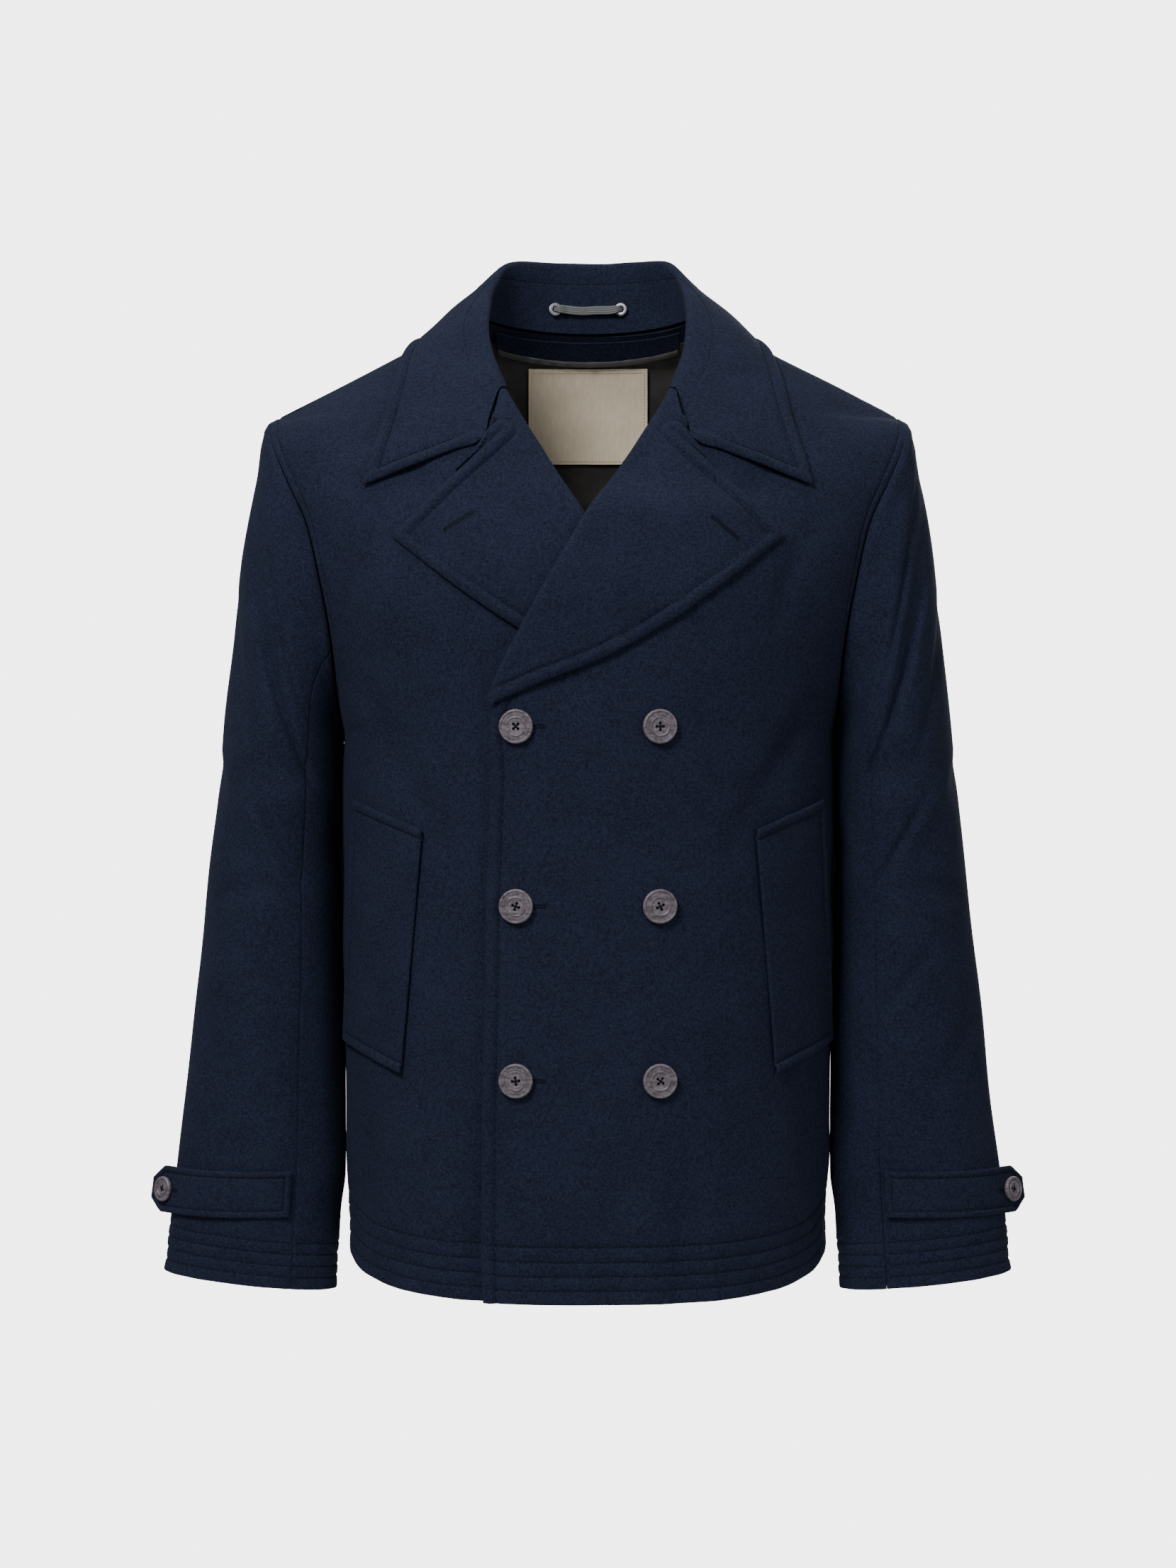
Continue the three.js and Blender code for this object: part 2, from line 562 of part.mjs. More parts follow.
// A section of the collar behind the gorge: up the stand, round the roll and down the fall.
function collarSection(row, place) {
  const face = place < COLLAR_FRONT ? 1 : -1;
  const seat = at(row.seatX, bodyY(row.seatX, row.seatZ, face) - (face * CLOTH) / 2, 0);
  seat.setLength(seat.length() - SEAT_INSET).setZ(row.seatZ + SEAT_LIFT);
  const roll = at(row.rollX, row.rollY, row.rollZ);
  const edge = clearOf(at(row.edgeX, row.edgeY, row.edgeZ), FALL_LAY + CLOTH);
  const up = roll.clone().sub(seat.clone().add(edge).multiplyScalar(0.5)).normalize();
  const out = edge.clone().sub(seat);
  out.addScaledVector(up, -out.dot(up)).normalize();
  const middle = roll.clone().addScaledVector(up, -COLLAR_ROLL);
  const radius = COLLAR_ROLL + CLOTH / 2;
  const inside = middle.clone().addScaledVector(out, -radius);
  const start = seat.addScaledVector(out, -CLOTH / 2);
  const points = Array.from({ length: STAND_SAMPLES }, (_, k) => (
    start.clone().lerp(inside, k / (STAND_SAMPLES - 1))
  ));
  for (let k = 1; k <= ROLL_STEPS - 1; k += 1) {
    const turn = (k / (ROLL_STEPS - 1)) * Math.PI;
    const point = middle.clone().addScaledVector(out, -radius * Math.cos(turn));
    points.push(point.addScaledVector(up, radius * Math.sin(turn)));
  }
  const outside = points[points.length - 1];
  for (let k = 1; k <= LEAF_SAMPLES; k += 1) {
    const f = k / LEAF_SAMPLES;
    const point = outside.clone().lerp(edge, f).addScaledVector(out, row.bow * Math.sin(Math.PI * f));
    points.push(clearOf(point, FALL_LAY + CLOTH));
  }
  return points;
}

// The collar's end, beside the lapel's: down the gorge seam to the notch and out to the tip.
function collarEnd() {
  const start = rollLine(1);
  const notchShare = NOTCH_SAMPLES / LEAF_SAMPLES;
  const edge = (f) => (f < notchShare
    ? { x: mix(start.x, NOTCH.x, f / notchShare), z: mix(start.z, NOTCH.z, f / notchShare) }
    : {
      x: mix(NOTCH.x, COLLAR_TIP.x, (f - notchShare) / (1 - notchShare)),
      z: mix(NOTCH.z, COLLAR_TIP.z, (f - notchShare) / (1 - notchShare)),
    });
  const down = rollTangent(1).multiplyScalar(-1);
  const section = rollSection(start.x, start.z, down, () => 0, GORGE_PUFF, edge);
  const aside = at(start.z - NOTCH.z, 0, NOTCH.x - start.x);
  const out = bodyOut(start.x, start.z, -1);
  aside.addScaledVector(out, -aside.dot(out)).setLength(GORGE_GAP);
  const upwards = rollTangent(1).multiplyScalar(GORGE_GAP);
  return section.map((point, j) => point.add(j < ROLL_STEPS ? upwards : aside));
}

function collarRows() {
  const half = [...COLLAR.map(collarSection), collarEnd()];
  const other = half.slice(1).reverse().map((row) => row.map((p) => at(-p.x, p.y, p.z)));
  const whole = [...other, ...half];
  const lines = whole[0].map((_, j) => new THREE.CatmullRomCurve3(whole.map((row) => row[j])));
  const fall = STAND_SAMPLES + ROLL_STEPS - 1;
  return Array.from({ length: COLLAR_STATIONS + 1 }, (_, i) => (
    lines.map((line, j) => {
      const point = line.getPoint(i / COLLAR_STATIONS);
      return j >= fall && i > 0 && i < COLLAR_STATIONS ? clearOf(point, FALL_LAY + CLOTH) : point;
    })
  ));
}

// Sleeves

function plainRing(share, degrees) {
  const row = (column) => read(SLEEVE, 'at', column, share);
  const turn = degrees * RADIANS;
  const x = (row('outX') + row('inX')) / 2 + (Math.cos(turn) * (row('outX') - row('inX'))) / 2;
  const z = (row('outZ') + row('inZ')) / 2 + (Math.cos(turn) * (row('outZ') - row('inZ'))) / 2;
  return at(x, row('y') - Math.sin(turn) * row('deep'), z);
}

// A point of the left sleeve's outer face. Its head fits the armhole, a seam's width away.
function sleevePoint(share, degrees) {
  const point = plainRing(share, degrees);
  const head = 1 - ramp(0, HEAD_SHARE, share);
  if (head > 0) {
    const fit = armhole(degrees, 1).add(at(HEAD_SPACE, 0, 0)).sub(plainRing(0, degrees));
    point.addScaledVector(fit, head);
  }
  const across = at((read(SLEEVE, 'at', 'outX', share) + read(SLEEVE, 'at', 'inX', share)) / 2,
    read(SLEEVE, 'at', 'y', share), point.z);
  const radial = point.clone().sub(across).setZ(0).normalize();
  for (const fold of SLEEVE_FOLDS) {
    const turned = degrees - fold.angle - fold.lean * ((share - fold.at) / fold.long);
    const depth = fold.depth * hump(turned / fold.wide) * hump((share - fold.at) / fold.long);
    point.addScaledVector(radial, -depth);
  }
  return point;
}

function sleeveOut(share, degrees) {
  const low = sleevePoint(Math.min(share + SLEEVE_NUDGE.share, 1), degrees);
  const high = sleevePoint(Math.max(share - SLEEVE_NUDGE.share, 0), degrees);
  const before = sleevePoint(share, degrees - SLEEVE_NUDGE.degrees);
  const after = sleevePoint(share, degrees + SLEEVE_NUDGE.degrees);
  return high.sub(low).cross(after.sub(before)).normalize();
}

// The direction in which the sleeve head's rim is thick, square to the armhole.
function headOut(degrees) {
  const turn = degrees * RADIANS;
  const high = (SHOULDER_Z - UNDERARM) / 2;
  const out = at(0, -Math.sin(turn) * high, Math.cos(turn) * ARMHOLE_FRONT);
  const { degrees: nudge } = SLEEVE_NUDGE;
  const tangent = armhole(degrees + nudge, 1).sub(armhole(degrees - nudge, 1)).normalize();
  return out.addScaledVector(tangent, -out.dot(tangent)).normalize();
}

// A panel of a sleeve between two angles, from its first ring, where 0 is the cuff, to its last.
function sleevePanel(name, side, [from, to], [first, last]) {
  const columns = Math.round((to - from) / RING_STEP);
  const share = (i) => {
    const even = (1 - i / SLEEVE_RINGS) ** RING_CROWD;
    if (i === first && first > 0) return even - ELBOW_GAP;
    return i === last && last < SLEEVE_RINGS ? even + ELBOW_GAP : even;
  };
  const angle = (j) => (
    THREE.MathUtils.clamp(from + j * RING_STEP, from + SLEEVE_SEAM, to - SLEEVE_SEAM)
  );
  const outAt = (i, j) => (i === SLEEVE_RINGS ? headOut(angle(j)) : sleeveOut(share(i), angle(j)));
  const rows = [];
  const outs = [];
  for (let i = first; i <= last; i += 1) {
    const row = Array.from({ length: columns + 1 }, (_, j) => sleevePoint(share(i), angle(j)));
    rows.push(row);
    outs.push(row.map((_, j) => outAt(i, j)));
  }
  add(name, side > 0 ? wall(rows, CLOTH, outs) : wall(mirrored(rows), CLOTH, mirrored(outs)), NAVY);
}

// Pocket welts and cuff tabs

function welt(name, side, level) {
  const rows = rowsOf(WELT_ROWS, WELT_COLUMNS, (up, across) => {
    const place = (key) => {
      const low = mix(WELT.bottomOut[key], WELT.bottomIn[key], across);
      return mix(low, mix(WELT.topOut[key], WELT.topIn[key], across), up);
    };
    const [x, z] = [place('x'), place('z')];
    return onBody(x, z, -1, level(x, z) + FOLD_LAY + WELT_WALL);
  });
  add(name, wall(side > 0 ? rows : mirrored(rows), WELT_WALL), NAVY);
}

// The share down the sleeve where its face is at a height, at an angle.
function shareAt(z, degrees) {
  let low = 0.5;
  let high = 1;
  while (high - low > 1e-4) {
    const middle = (low + high) / 2;
    if (sleevePoint(middle, degrees).z > z) low = middle;
    else high = middle;
  }
  return low;
}

// A point of the cuff tab's outer face, far millimetres past where it leaves the sleeve.
function tabPoint(z, degrees, far) {
  const share = shareAt(z, degrees);
  const out = sleeveOut(share, degrees);
  const point = sleevePoint(share, degrees).addScaledVector(out, TAB_LAY + CLOTH);
  if (far > 0) {
    const next = sleevePoint(shareAt(z, degrees - 2), degrees - 2);
    const along = next.sub(sleevePoint(share, degrees)).setZ(0).normalize();
    point.addScaledVector(along, far);
  }
  return point;
}

function tabStations() {
  const stations = [];
  for (let k = 0; k <= TAB_WRAP_STEPS; k += 1) {
    stations.push({ degrees: mix(TAB_START, TAB_LEAVE, k / TAB_WRAP_STEPS), far: 0, narrow: 0 });
  }
  const straight = TAB_FREE - TAB_POINT;
  stations.push({ degrees: TAB_LEAVE, far: straight, narrow: 0 });
  stations.push({ degrees: TAB_LEAVE, far: TAB_FREE, narrow: 1 });
  return stations;
}

function tab(name, side) {
  const high = 2;
  const rows = Array.from({ length: high + 1 }, (_, i) => (
    tabStations().map(({ degrees, far, narrow }) => {
      const middle = (TAB_TOP + TAB_BOTTOM) / 2;
      const half = mix((TAB_TOP - TAB_BOTTOM) / 2, TAB_TIP_HIGH / 2, narrow);
      return tabPoint(mix(middle - half, middle + half, i / high), degrees, far);
    }).reverse()
  ));
  add(name, wall(side > 0 ? rows : mirrored(rows), CLOTH), NAVY);
}

// Buttons

const wasm = await Module();
wasm.setup();

function toSolid(geometry) {
  const bare = geometry.clone();
  bare.deleteAttribute('normal');
  bare.deleteAttribute('uv');
  const merged = mergeVertices(bare, 1e-4);
  return new wasm.Manifold(new wasm.Mesh({
    numProp: 3,
    vertProperties: new Float32Array(merged.attributes.position.array),
    triVerts: new Uint32Array(merged.index.array),
  }));
}

function fromSolid(solid) {
  const made = solid.getMesh();
  const geometry = new THREE.BufferGeometry();
  geometry.setAttribute('position', new THREE.Float32BufferAttribute(made.vertProperties, 3));
  geometry.setIndex(Array.from(made.triVerts));
  return geometry;
}

// A dished button with four thread holes, its back at z 0 and its face towards +Z.
function buttonGeometry(size) {
  const inner = size.radius - size.rim;
  const profile = [
    [0, 0],
    [size.radius - BUTTON_EDGE.back, 0],
    [size.radius, size.thick * BUTTON_EDGE.belly],
    [size.radius - BUTTON_EDGE.front, size.thick],
    [inner, size.thick - BUTTON_EDGE.crown],
    [inner - BUTTON_EDGE.slope, size.thick - size.dish],
    [0, size.thick - size.dish],
  ];
  const turned = new THREE.LatheGeometry(profile.map(([r, z]) => new THREE.Vector2(r, z)), BUTTON_SIDES);
  let solid = toSolid(turned.rotateX(Math.PI / 2));
  for (let k = 0; k < 4; k += 1) {
    const turn = (k + 0.5) * (Math.PI / 2);
    const drill = new THREE.CylinderGeometry(size.hole, size.hole, 3 * size.thick, HOLE_SIDES);
    drill.rotateX(Math.PI / 2);
    drill.translate(size.holeSpread * Math.cos(turn), size.holeSpread * Math.sin(turn), 0);
    solid = solid.subtract(toSolid(drill));
  }
  return fromSolid(solid);
}

function placed(mesh, point, out) {
  mesh.position.copy(point);
  mesh.quaternion.setFromUnitVectors(at(0, 0, 1), out);
}

function frontButtons() {
  BUTTON_ROWS.forEach((z, row) => {
    for (const [name, x] of [['left', BUTTON_X], ['right', -BUTTON_X]]) {
      const mesh = add(`button_${name}_${row + 1}`, buttonGeometry(BUTTON), HORN);
      placed(mesh, onBody(x, z, -1, lift(x, z) + BUTTON_SHANK), bodyOut(x, z, -1));
    }
  });
}

function cuffButton(name, side) {
  const z = (TAB_TOP + TAB_BOTTOM) / 2;
  const far = TAB_FREE - TAB_BUTTON_IN;
  const point = tabPoint(z, TAB_LEAVE, far);
  const along = tabPoint(z, TAB_LEAVE, far + 1).sub(point);
  const up = tabPoint(z + 1, TAB_LEAVE, far).sub(tabPoint(z - 1, TAB_LEAVE, far));
  const out = up.cross(along.negate()).normalize();
  point.addScaledVector(out, BUTTON_SHANK);
  if (side < 0) {
    point.x *= -1;
    out.x *= -1;
  }
  placed(add(name, buttonGeometry(CUFF_BUTTON), HORN), point, out);
}

// Inside the neck

// Rows on the inside of the back, lay millimetres off the lining.
function insideRows(high, wide, lay, pointAt) {
  return rowsOf(high, wide, (i, j) => {
    const { x, z } = pointAt(i, j);
    return onBody(x, z, 1, -(CLOTH + LAY + LINING + lay));
  });
}

// The lining is made from the back's own points, moved in.
function lining(panel) {
  const inner = (grid) => grid.slice(LINING_LOW, -1).map((row) => row.slice(1, -1));
  const outs = inner(panel.outs);
  const rows = inner(panel.rows).map((row, i) => (
    row.map((point, j) => point.clone().addScaledVector(outs[i][j], -(CLOTH + LAY)))
  ));
  add('lining_back', wall(rows, LINING, outs), SATIN);
}

function facing() {
  const rows = insideRows(FACING.rows, FACING.columns, FACING.lay, (i, j) => {
    const x = mix(-FACING.half, FACING.half, j);
    const bend = (x / NECK_HALF) ** 2;
    const high = mix(NECK_BACK_Z, NECK_SIDE_Z, bend) - FACING.below;
    return { x, z: mix(mix(FACING.middle, FACING.side, bend), high, i) };
  });
  add('neck_facing', wall(rows, FACING.wall), NAVY);
}

function label() {
  const rows = insideRows(LABEL.rows, LABEL.columns, LABEL.lay, (i, j) => (
    { x: mix(-LABEL.half, LABEL.half, j), z: mix(LABEL.bottom, LABEL.top, i) }
  ));
  add('neck_label', wall(rows, LABEL.wall), LABEL_SATIN);
}

const neck = collarRows();

// A point of the collar stand's inner face at a place across and a height.
function standPoint(x, z) {
  const stations = neck.map((row) => {
    const share = (z - row[0].z) / (row[STAND_SAMPLES - 1].z - row[0].z);
    return row[0].clone().lerp(row[STAND_SAMPLES - 1], share);
  });
  const after = stations.findIndex((p, i) => i > 0 && p.y > 0 && p.x >= x && stations[i - 1].x < x);
  const a = stations[after - 1];
  const b = stations[after];
  return a.clone().lerp(b, (x - a.x) / (b.x - a.x));
}

function standOut(x, z) {
  const across = standPoint(x + LOOP.nudge, z).sub(standPoint(x - LOOP.nudge, z));
  const up = standPoint(x, z + LOOP.nudge).sub(standPoint(x, z - LOOP.nudge));
  return across.cross(up).normalize();
}

function hangerLoop() {
  const rows = rowsOf(1, LOOP.columns, (i, j) => {
    const x = mix(-LOOP.half, LOOP.half, j);
    const z = EYELET.z + mix(-LOOP.high / 2, LOOP.high / 2, i);
    return standPoint(x, z).addScaledVector(standOut(x, EYELET.z), LAY);
  });
  add('hanger_loop', wall(rows, LOOP.wall), TAPE);
}

function eyelet(name, x) {
  const ring = new THREE.Shape().absarc(0, 0, EYELET.radius, 0, 2 * Math.PI, false);
  ring.holes.push(new THREE.Path().absarc(0, 0, EYELET.hole, 0, 2 * Math.PI, true));
  const sizes = { depth: EYELET.thick, bevelEnabled: false, curveSegments: EYELET.steps };
  const disc = new THREE.ExtrudeGeometry(ring, sizes);
  const out = standOut(x, EYELET.z);
  const point = standPoint(x, EYELET.z).addScaledVector(out, 2 * LAY + LOOP.wall);
  placed(add(name, disc, STEEL), point, out);
}

front('front_over', 1, lift);
front('front_under', -1, () => 0);
const panel = back();
lapel('lapel_over', 1, lift, ROLL_PUFF);
lapel('lapel_under', -1, () => 0, UNDER_PUFF);
add('collar', wall(neck, CLOTH), NAVY);
for (const [name, side] of [['left', 1], ['right', -1]]) {
  const top = [HINDSEAM - 360, FORESEAM];
  sleevePanel(`sleeve_top_${name}`, side, top, [ELBOW_RING, SLEEVE_RINGS]);
  sleevePanel(`sleeve_top_${name}_low`, side, top, [0, ELBOW_RING]);
  sleevePanel(`sleeve_under_${name}`, side, [FORESEAM, HINDSEAM], [0, SLEEVE_RINGS]);
  tab(`cuff_tab_${name}`, side);
  cuffButton(`cuff_button_${name}`, side);
  welt(`pocket_welt_${name}`, side, side > 0 ? lift : () => 0);
  eyelet(`eyelet_${name}`, side * EYELET.x);
}
frontButtons();
lining(panel);
facing();
label();
hangerLoop();

export default coat;
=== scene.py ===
"""A navy wool pea coat with nobody in it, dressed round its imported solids.

Sizes and places are in millimetres and become metres where a mesh is made. The front faces -Y and
the wearer's left is +X.
"""

import math

import bmesh
import bpy
import numpy as np
from mathutils import Matrix, Vector
from mathutils.bvhtree import BVHTree


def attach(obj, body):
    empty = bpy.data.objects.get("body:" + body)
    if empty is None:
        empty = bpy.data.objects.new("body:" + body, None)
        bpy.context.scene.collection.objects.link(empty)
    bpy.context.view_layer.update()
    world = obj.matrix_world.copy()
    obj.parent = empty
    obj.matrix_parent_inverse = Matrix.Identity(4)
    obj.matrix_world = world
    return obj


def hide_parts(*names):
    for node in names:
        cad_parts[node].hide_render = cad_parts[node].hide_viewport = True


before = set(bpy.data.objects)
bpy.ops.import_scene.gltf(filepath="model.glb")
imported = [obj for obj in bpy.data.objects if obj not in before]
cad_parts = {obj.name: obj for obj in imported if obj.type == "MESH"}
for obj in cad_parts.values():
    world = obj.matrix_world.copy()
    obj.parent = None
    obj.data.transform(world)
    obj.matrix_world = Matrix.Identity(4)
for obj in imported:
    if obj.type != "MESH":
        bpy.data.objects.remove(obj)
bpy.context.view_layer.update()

MM = 0.001

# Cloth
CLOTH = 2.4
LINING = 1.0
SEAM = 0.3
LAY = 0.4
FOLD_LAY = 1.2
FALL_LAY = 1.8  # the solid collar has 2.2

# Body
HEM_FRONT = -737
HEM_RISE = 34
HEM_BEND = 1.7
LEVEL_FROM = 0.991  # share of the half width past which the hem stays level, at the side seams
ROUNDNESS = 2.3
UNDERARM = -316
CHEST = -230
NECK_HALF = 84
NECK_SIDE_Z = 5
NECK_BACK_Z = 0
NECK_SHARE = 0.5
SHOULDER_X = 245
SHOULDER_Z = -77
BACK_CROWN = 34
FRONT_LEAN = (1.5, 0.77)
BACK_LEAN = (2, 0.5)
LOW_ROWS = 8
HIGH_ROWS = 12
NUDGE = 1.5
SECTIONS = {
    "z": (-745, -575, -460, -358, -316, -250, -200, -160, -128, -98, 0),
    "wide": (184, 186, 188, 189, 189.5, 209, 227, 248, 275, 310, 340),
    "front": (146, 145, 144, 144, 144, 144, 144, 144, 143, 143, 143),
    "back": (143, 140, 137, 139, 141, 143, 144, 145, 145, 144, 143),
}

# Armholes
ARMHOLE_FRONT = 72
ARMHOLE_BACK = 78
ARMHOLE_REACH = 0.62
ARMHOLE_X = {
    "z": (-316, -250, -200, -160, -128, -98, -77),
    "x": (189.5, 194, 203, 213, 228, 241, 245),
}

# Front edge and lapels
OVERLAP_LIFT = 7.6
OVERLAP_FADE = {"from_x": 72, "to_x": 165, "from_z": -166, "to_z": -128}
BREAK_Z = -298
GORGE_Z = -63
FRONT_EDGE = {
    "z": (-737, -700, -530, -358, -298, -172, -118, -63, -30, 5),
    "x": (-77, -78.5, -76.5, -72, -68, 0, 34, 66, 81, 84),
}
LAPEL_EDGE = {
    "share": (0, 0.16, 0.36, 0.54, 0.7, 0.73, 0.86, 1),
    "x": (-63, -36, 22, 85, 143, 143, 108, 75.5),
    "z": (-298, -286, -261.5, -222, -177, -174, -138, -107),
}
LAPEL_HOLE = {1: ((88.5, -165), (108, -180)), -1: ((84.5, -158.5), (105, -172))}
ROLL_PUFF = 3.2
PUFF_MIDDLE = 0.45
PUFF_HALF = 0.53
ROLL_SEAT = 2.2

# Collar
COLLAR = {
    "seat_x": (0, 36, 63, 80, 84, 81.5),
    "seat_z": (0, 1, 3, 4.6, 1, -26),
    "roll_x": (0, 37, 62, 73, 76, 75),
    "roll_y": (74, 68, 49, 20, -8, -39),
    "roll_z": (57, 57, 54, 34, 12, -20),
    "edge_x": (0, 54, 104, 136, 148, 155),
    "edge_y": (107, 99, 72, 26, -26, -54),
    "edge_z": (-38, -37, -33, -16, -42, -88),
    "bow": (5, 5, 5, 4, 3, 2),
}
COLLAR_TIP = (166, -137)
COLLAR_ROLL = 3.2
NOTCH = (77, -103)
NOTCH_SAMPLES = 2
COLLAR_FRONT = 4
SEAT_LIFT = 1.4
SEAT_INSET = 1.8
GORGE_PUFF = 0.6
GORGE_GAP = 1.8
RIDGE_REACH = 40
RIDGE_LIFT = 0.8  # the solid collar has 5, which made a knob over each shoulder
RIDGE_SLANT = 1.2
CLEAR_PASSES = 4
STAND_SAMPLES = 3
ROLL_STEPS = 4
LEAF_SAMPLES = 7

# Sleeves
SLEEVE = {
    "at": (0, 0.06, 0.13, 0.22, 0.33, 0.45, 0.57, 0.69, 0.8, 0.9, 1),
    "out_x": (245, 251, 257, 265, 273, 281, 290, 298, 307, 316, 324),
    "out_z": (-80, -93, -119, -168, -238, -316, -400, -484, -566, -650, -730),
    "in_x": (189, 190.6, 191.2, 191.4, 191.4, 191.2, 190.6, 189.8, 189, 189, 193),
    "in_z": (-316, -322, -331, -347, -374, -415, -465, -520, -585, -660, -744),
    "deep": (75, 77, 79, 80, 79, 76, 70, 63, 54, 45, 40),
    "y": (3, 3, 2, 1, -1, -3, -6, -10, -15, -20, -25),
}
HEAD_SHARE = 0.2
HEAD_SPACE = 0.39
FORESEAM = 120
HINDSEAM = 240
SLEEVE_FOLDS = (
    {"angle": 62, "at": 0.24, "wide": 26, "long": 0.15, "lean": 60, "depth": 5},
    {"angle": 95, "at": 0.4, "wide": 24, "long": 0.12, "lean": -50, "depth": 4.5},
    {"angle": 70, "at": 0.55, "wide": 34, "long": 0.05, "lean": 0, "depth": 3.5},
    {"angle": 250, "at": 0.5, "wide": 34, "long": 0.06, "lean": 0, "depth": 4.5},
    {"angle": 300, "at": 0.28, "wide": 24, "long": 0.12, "lean": -60, "depth": 4},
)
BODY_FOLDS = (
    {"face": -1, "x": 74, "z": -700, "wide": 20, "high": 110, "depth": 3.5},
    {"face": -1, "x": -128, "z": -690, "wide": 22, "high": 90, "depth": 3},
    {"face": 1, "x": 62, "z": -640, "wide": 30, "high": 170, "depth": 5},
    {"face": 1, "x": -58, "z": -620, "wide": 34, "high": 190, "depth": 5},
    {"face": 1, "x": 128, "z": -250, "wide": 24, "high": 90, "depth": 4},
    {"face": 1, "x": -126, "z": -262, "wide": 24, "high": 90, "depth": 4},
)

# How the body's sides and the sleeves' inner sides come together
SIDE_FILL = {"gap": 0.14, "most": 1.2, "full": -635, "fade": -690}
DRAW_IN = {"out": -1.5, "in": 7.5, "wide": 44, "seam": 12}
HEIGHT_STEP = 4.0

# Relief
PUFF_HIGH = 1.5
CREASE_DEEP = 1.5
SLEEVE_CREASE_DEEP = 2.0
LINING_DEEPER = 0.5

VIEW_FAR = 2400

# Pockets and cuff tabs
WELT = {"top_in": (121, -391), "top_out": (175, -369), "bottom_out": (183, -554), "bottom_in": (137, -573)}
WELT_WALL = 2.8
POCKET_BAG = (
    (138, -361), (100, -382), (103, -410), (107, -441), (111, -472), (115, -505), (132, -538), (153, -580),
)
TAB_TOP = -650
TAB_BOTTOM = -686
TAB_START = 116
TAB_LEAVE = 34
TAB_FREE = 38
TAB_POINT = 13
TAB_TIP_HIGH = 16
TAB_LAY = 0.9
TAB_BUTTON_IN = 17

# Buttons
BUTTON = {"radius": 12.7, "thick": 4.2, "hole": 1.05, "spread": 2.5}
CUFF_BUTTON = {"radius": 9.6, "thick": 3.6, "hole": 0.95, "spread": 2.0}
RIBS = 44
BUTTON_X = 51
BUTTON_ROWS = (-316, -447, -574)
BUTTON_SHANK = 0.5

# Inside the neck
LABEL = {"half": 49, "top": -22, "bottom": -96, "wall": 0.8, "lay": 1.5}
FACING = {"half": 76, "middle": -16, "side": -7, "wall": 1.2, "lay": 2.5, "below": 1.5}
TRIM_HALF = 75
TRIM_HIGH = 4
TRIM_DROP = 1.2
EYELET = {"x": 26.5, "z": 20, "radius": 5.2, "hole": 2.3, "thick": 1.2}
LOOP = {"half": 31, "high": 7, "wall": 1.4}

# Sewing
EDGE_ROW = 10.3
HEM_ROWS = (10, 20.5, 31, 42)
CUFF_ROWS = (9, 17.6, 26.4, 35)
ARMHOLE_ROW = 6.2
WELT_ROW = 8
TAB_ROW = 5.5
STAND_ROW = 40
STITCH = {"length": 3.3, "gap": 1.0, "radius": 0.3}


# Arithmetic on arrays of numbers and of points

def at(x, y, z):
    return np.stack(np.broadcast_arrays(x, y, z), -1).astype(float)


def mix(a, b, share):
    return a + (b - a) * share


def ramp(low, high, value):
    share = np.clip((value - low) / (high - low), 0, 1)
    return share * share * (3 - 2 * share)


def hump(value):
    return np.maximum(0, 1 - value * value) ** 2


def unit(vectors):
    return vectors / np.maximum(np.linalg.norm(vectors, axis=-1, keepdims=True), 1e-9)


def dot(a, b):
    return np.sum(a * b, -1, keepdims=True)


def read(table, by, column, value):
    """Reads one column of a table at values of another, on a smooth curve through its rows."""
    stops = np.array(table[by], float)
    values = np.array(table[column], float)
    rows = np.arange(len(stops))
    before = np.maximum(rows - 1, 0)
    after = np.minimum(rows + 1, rows[-1])
    slopes = (values[after] - values[before]) / (stops[after] - stops[before])
    k = np.clip(np.searchsorted(stops, value) - 1, 0, rows[-1] - 1)
    gap = stops[k + 1] - stops[k]
    f = np.clip((value - stops[k]) / gap, 0, 1)
    low = values[k] * (1 + 2 * f) * (1 - f) ** 2 + slopes[k] * gap * f * (1 - f) ** 2
    return low + values[k + 1] * f * f * (3 - 2 * f) + slopes[k + 1] * gap * f * f * (f - 1)


def uneven(points, size, seed):
    """A smooth value from about -1 to 1 that wanders over space, with waves of about that size."""
    draw = np.random.default_rng(seed)
    total = 0
    waves = 9
    for _ in range(waves):
        way = draw.normal(size=3)
        way /= np.linalg.norm(way) * size * draw.uniform(0.7, 1.6)
        total = total + np.sin(2 * np.pi * (points @ way) + draw.uniform(0, 2 * np.pi))
    return total / math.sqrt(waves)


# The coat's form, as the solids have it

def shoulder_z(x):
    slope = (NECK_SIDE_Z - SHOULDER_Z) / (SHOULDER_X - NECK_HALF)
    return NECK_SIDE_Z - slope * np.maximum(np.abs(x) - NECK_HALF, 0)


def plain_y(x, z, face):
    wide = read(SECTIONS, "z", "wide", z)
    deep = read(SECTIONS, "z", "front" if face < 0 else "back", z)
    rounded = np.maximum(0, 1 - (np.abs(x) / wide) ** ROUNDNESS) ** (1 / ROUNDNESS)
    crown = BACK_CROWN * np.maximum(0, 1 - (x / NECK_HALF) ** 2) if face > 0 else 0
    climb = np.clip((z - CHEST) / (shoulder_z(x) + crown - CHEST), 0, 1)
    soon, steep = FRONT_LEAN if face < 0 else BACK_LEAN
    return face * deep * rounded * (1 - climb ** soon) ** steep


def armhole_y(z, face):
    middle = (UNDERARM + SHOULDER_Z) / 2
    high = (SHOULDER_Z - UNDERARM) / 2
    deep = ARMHOLE_FRONT if face < 0 else ARMHOLE_BACK
    return face * deep * np.sqrt(np.maximum(0, 1 - ((z - middle) / high) ** 2))


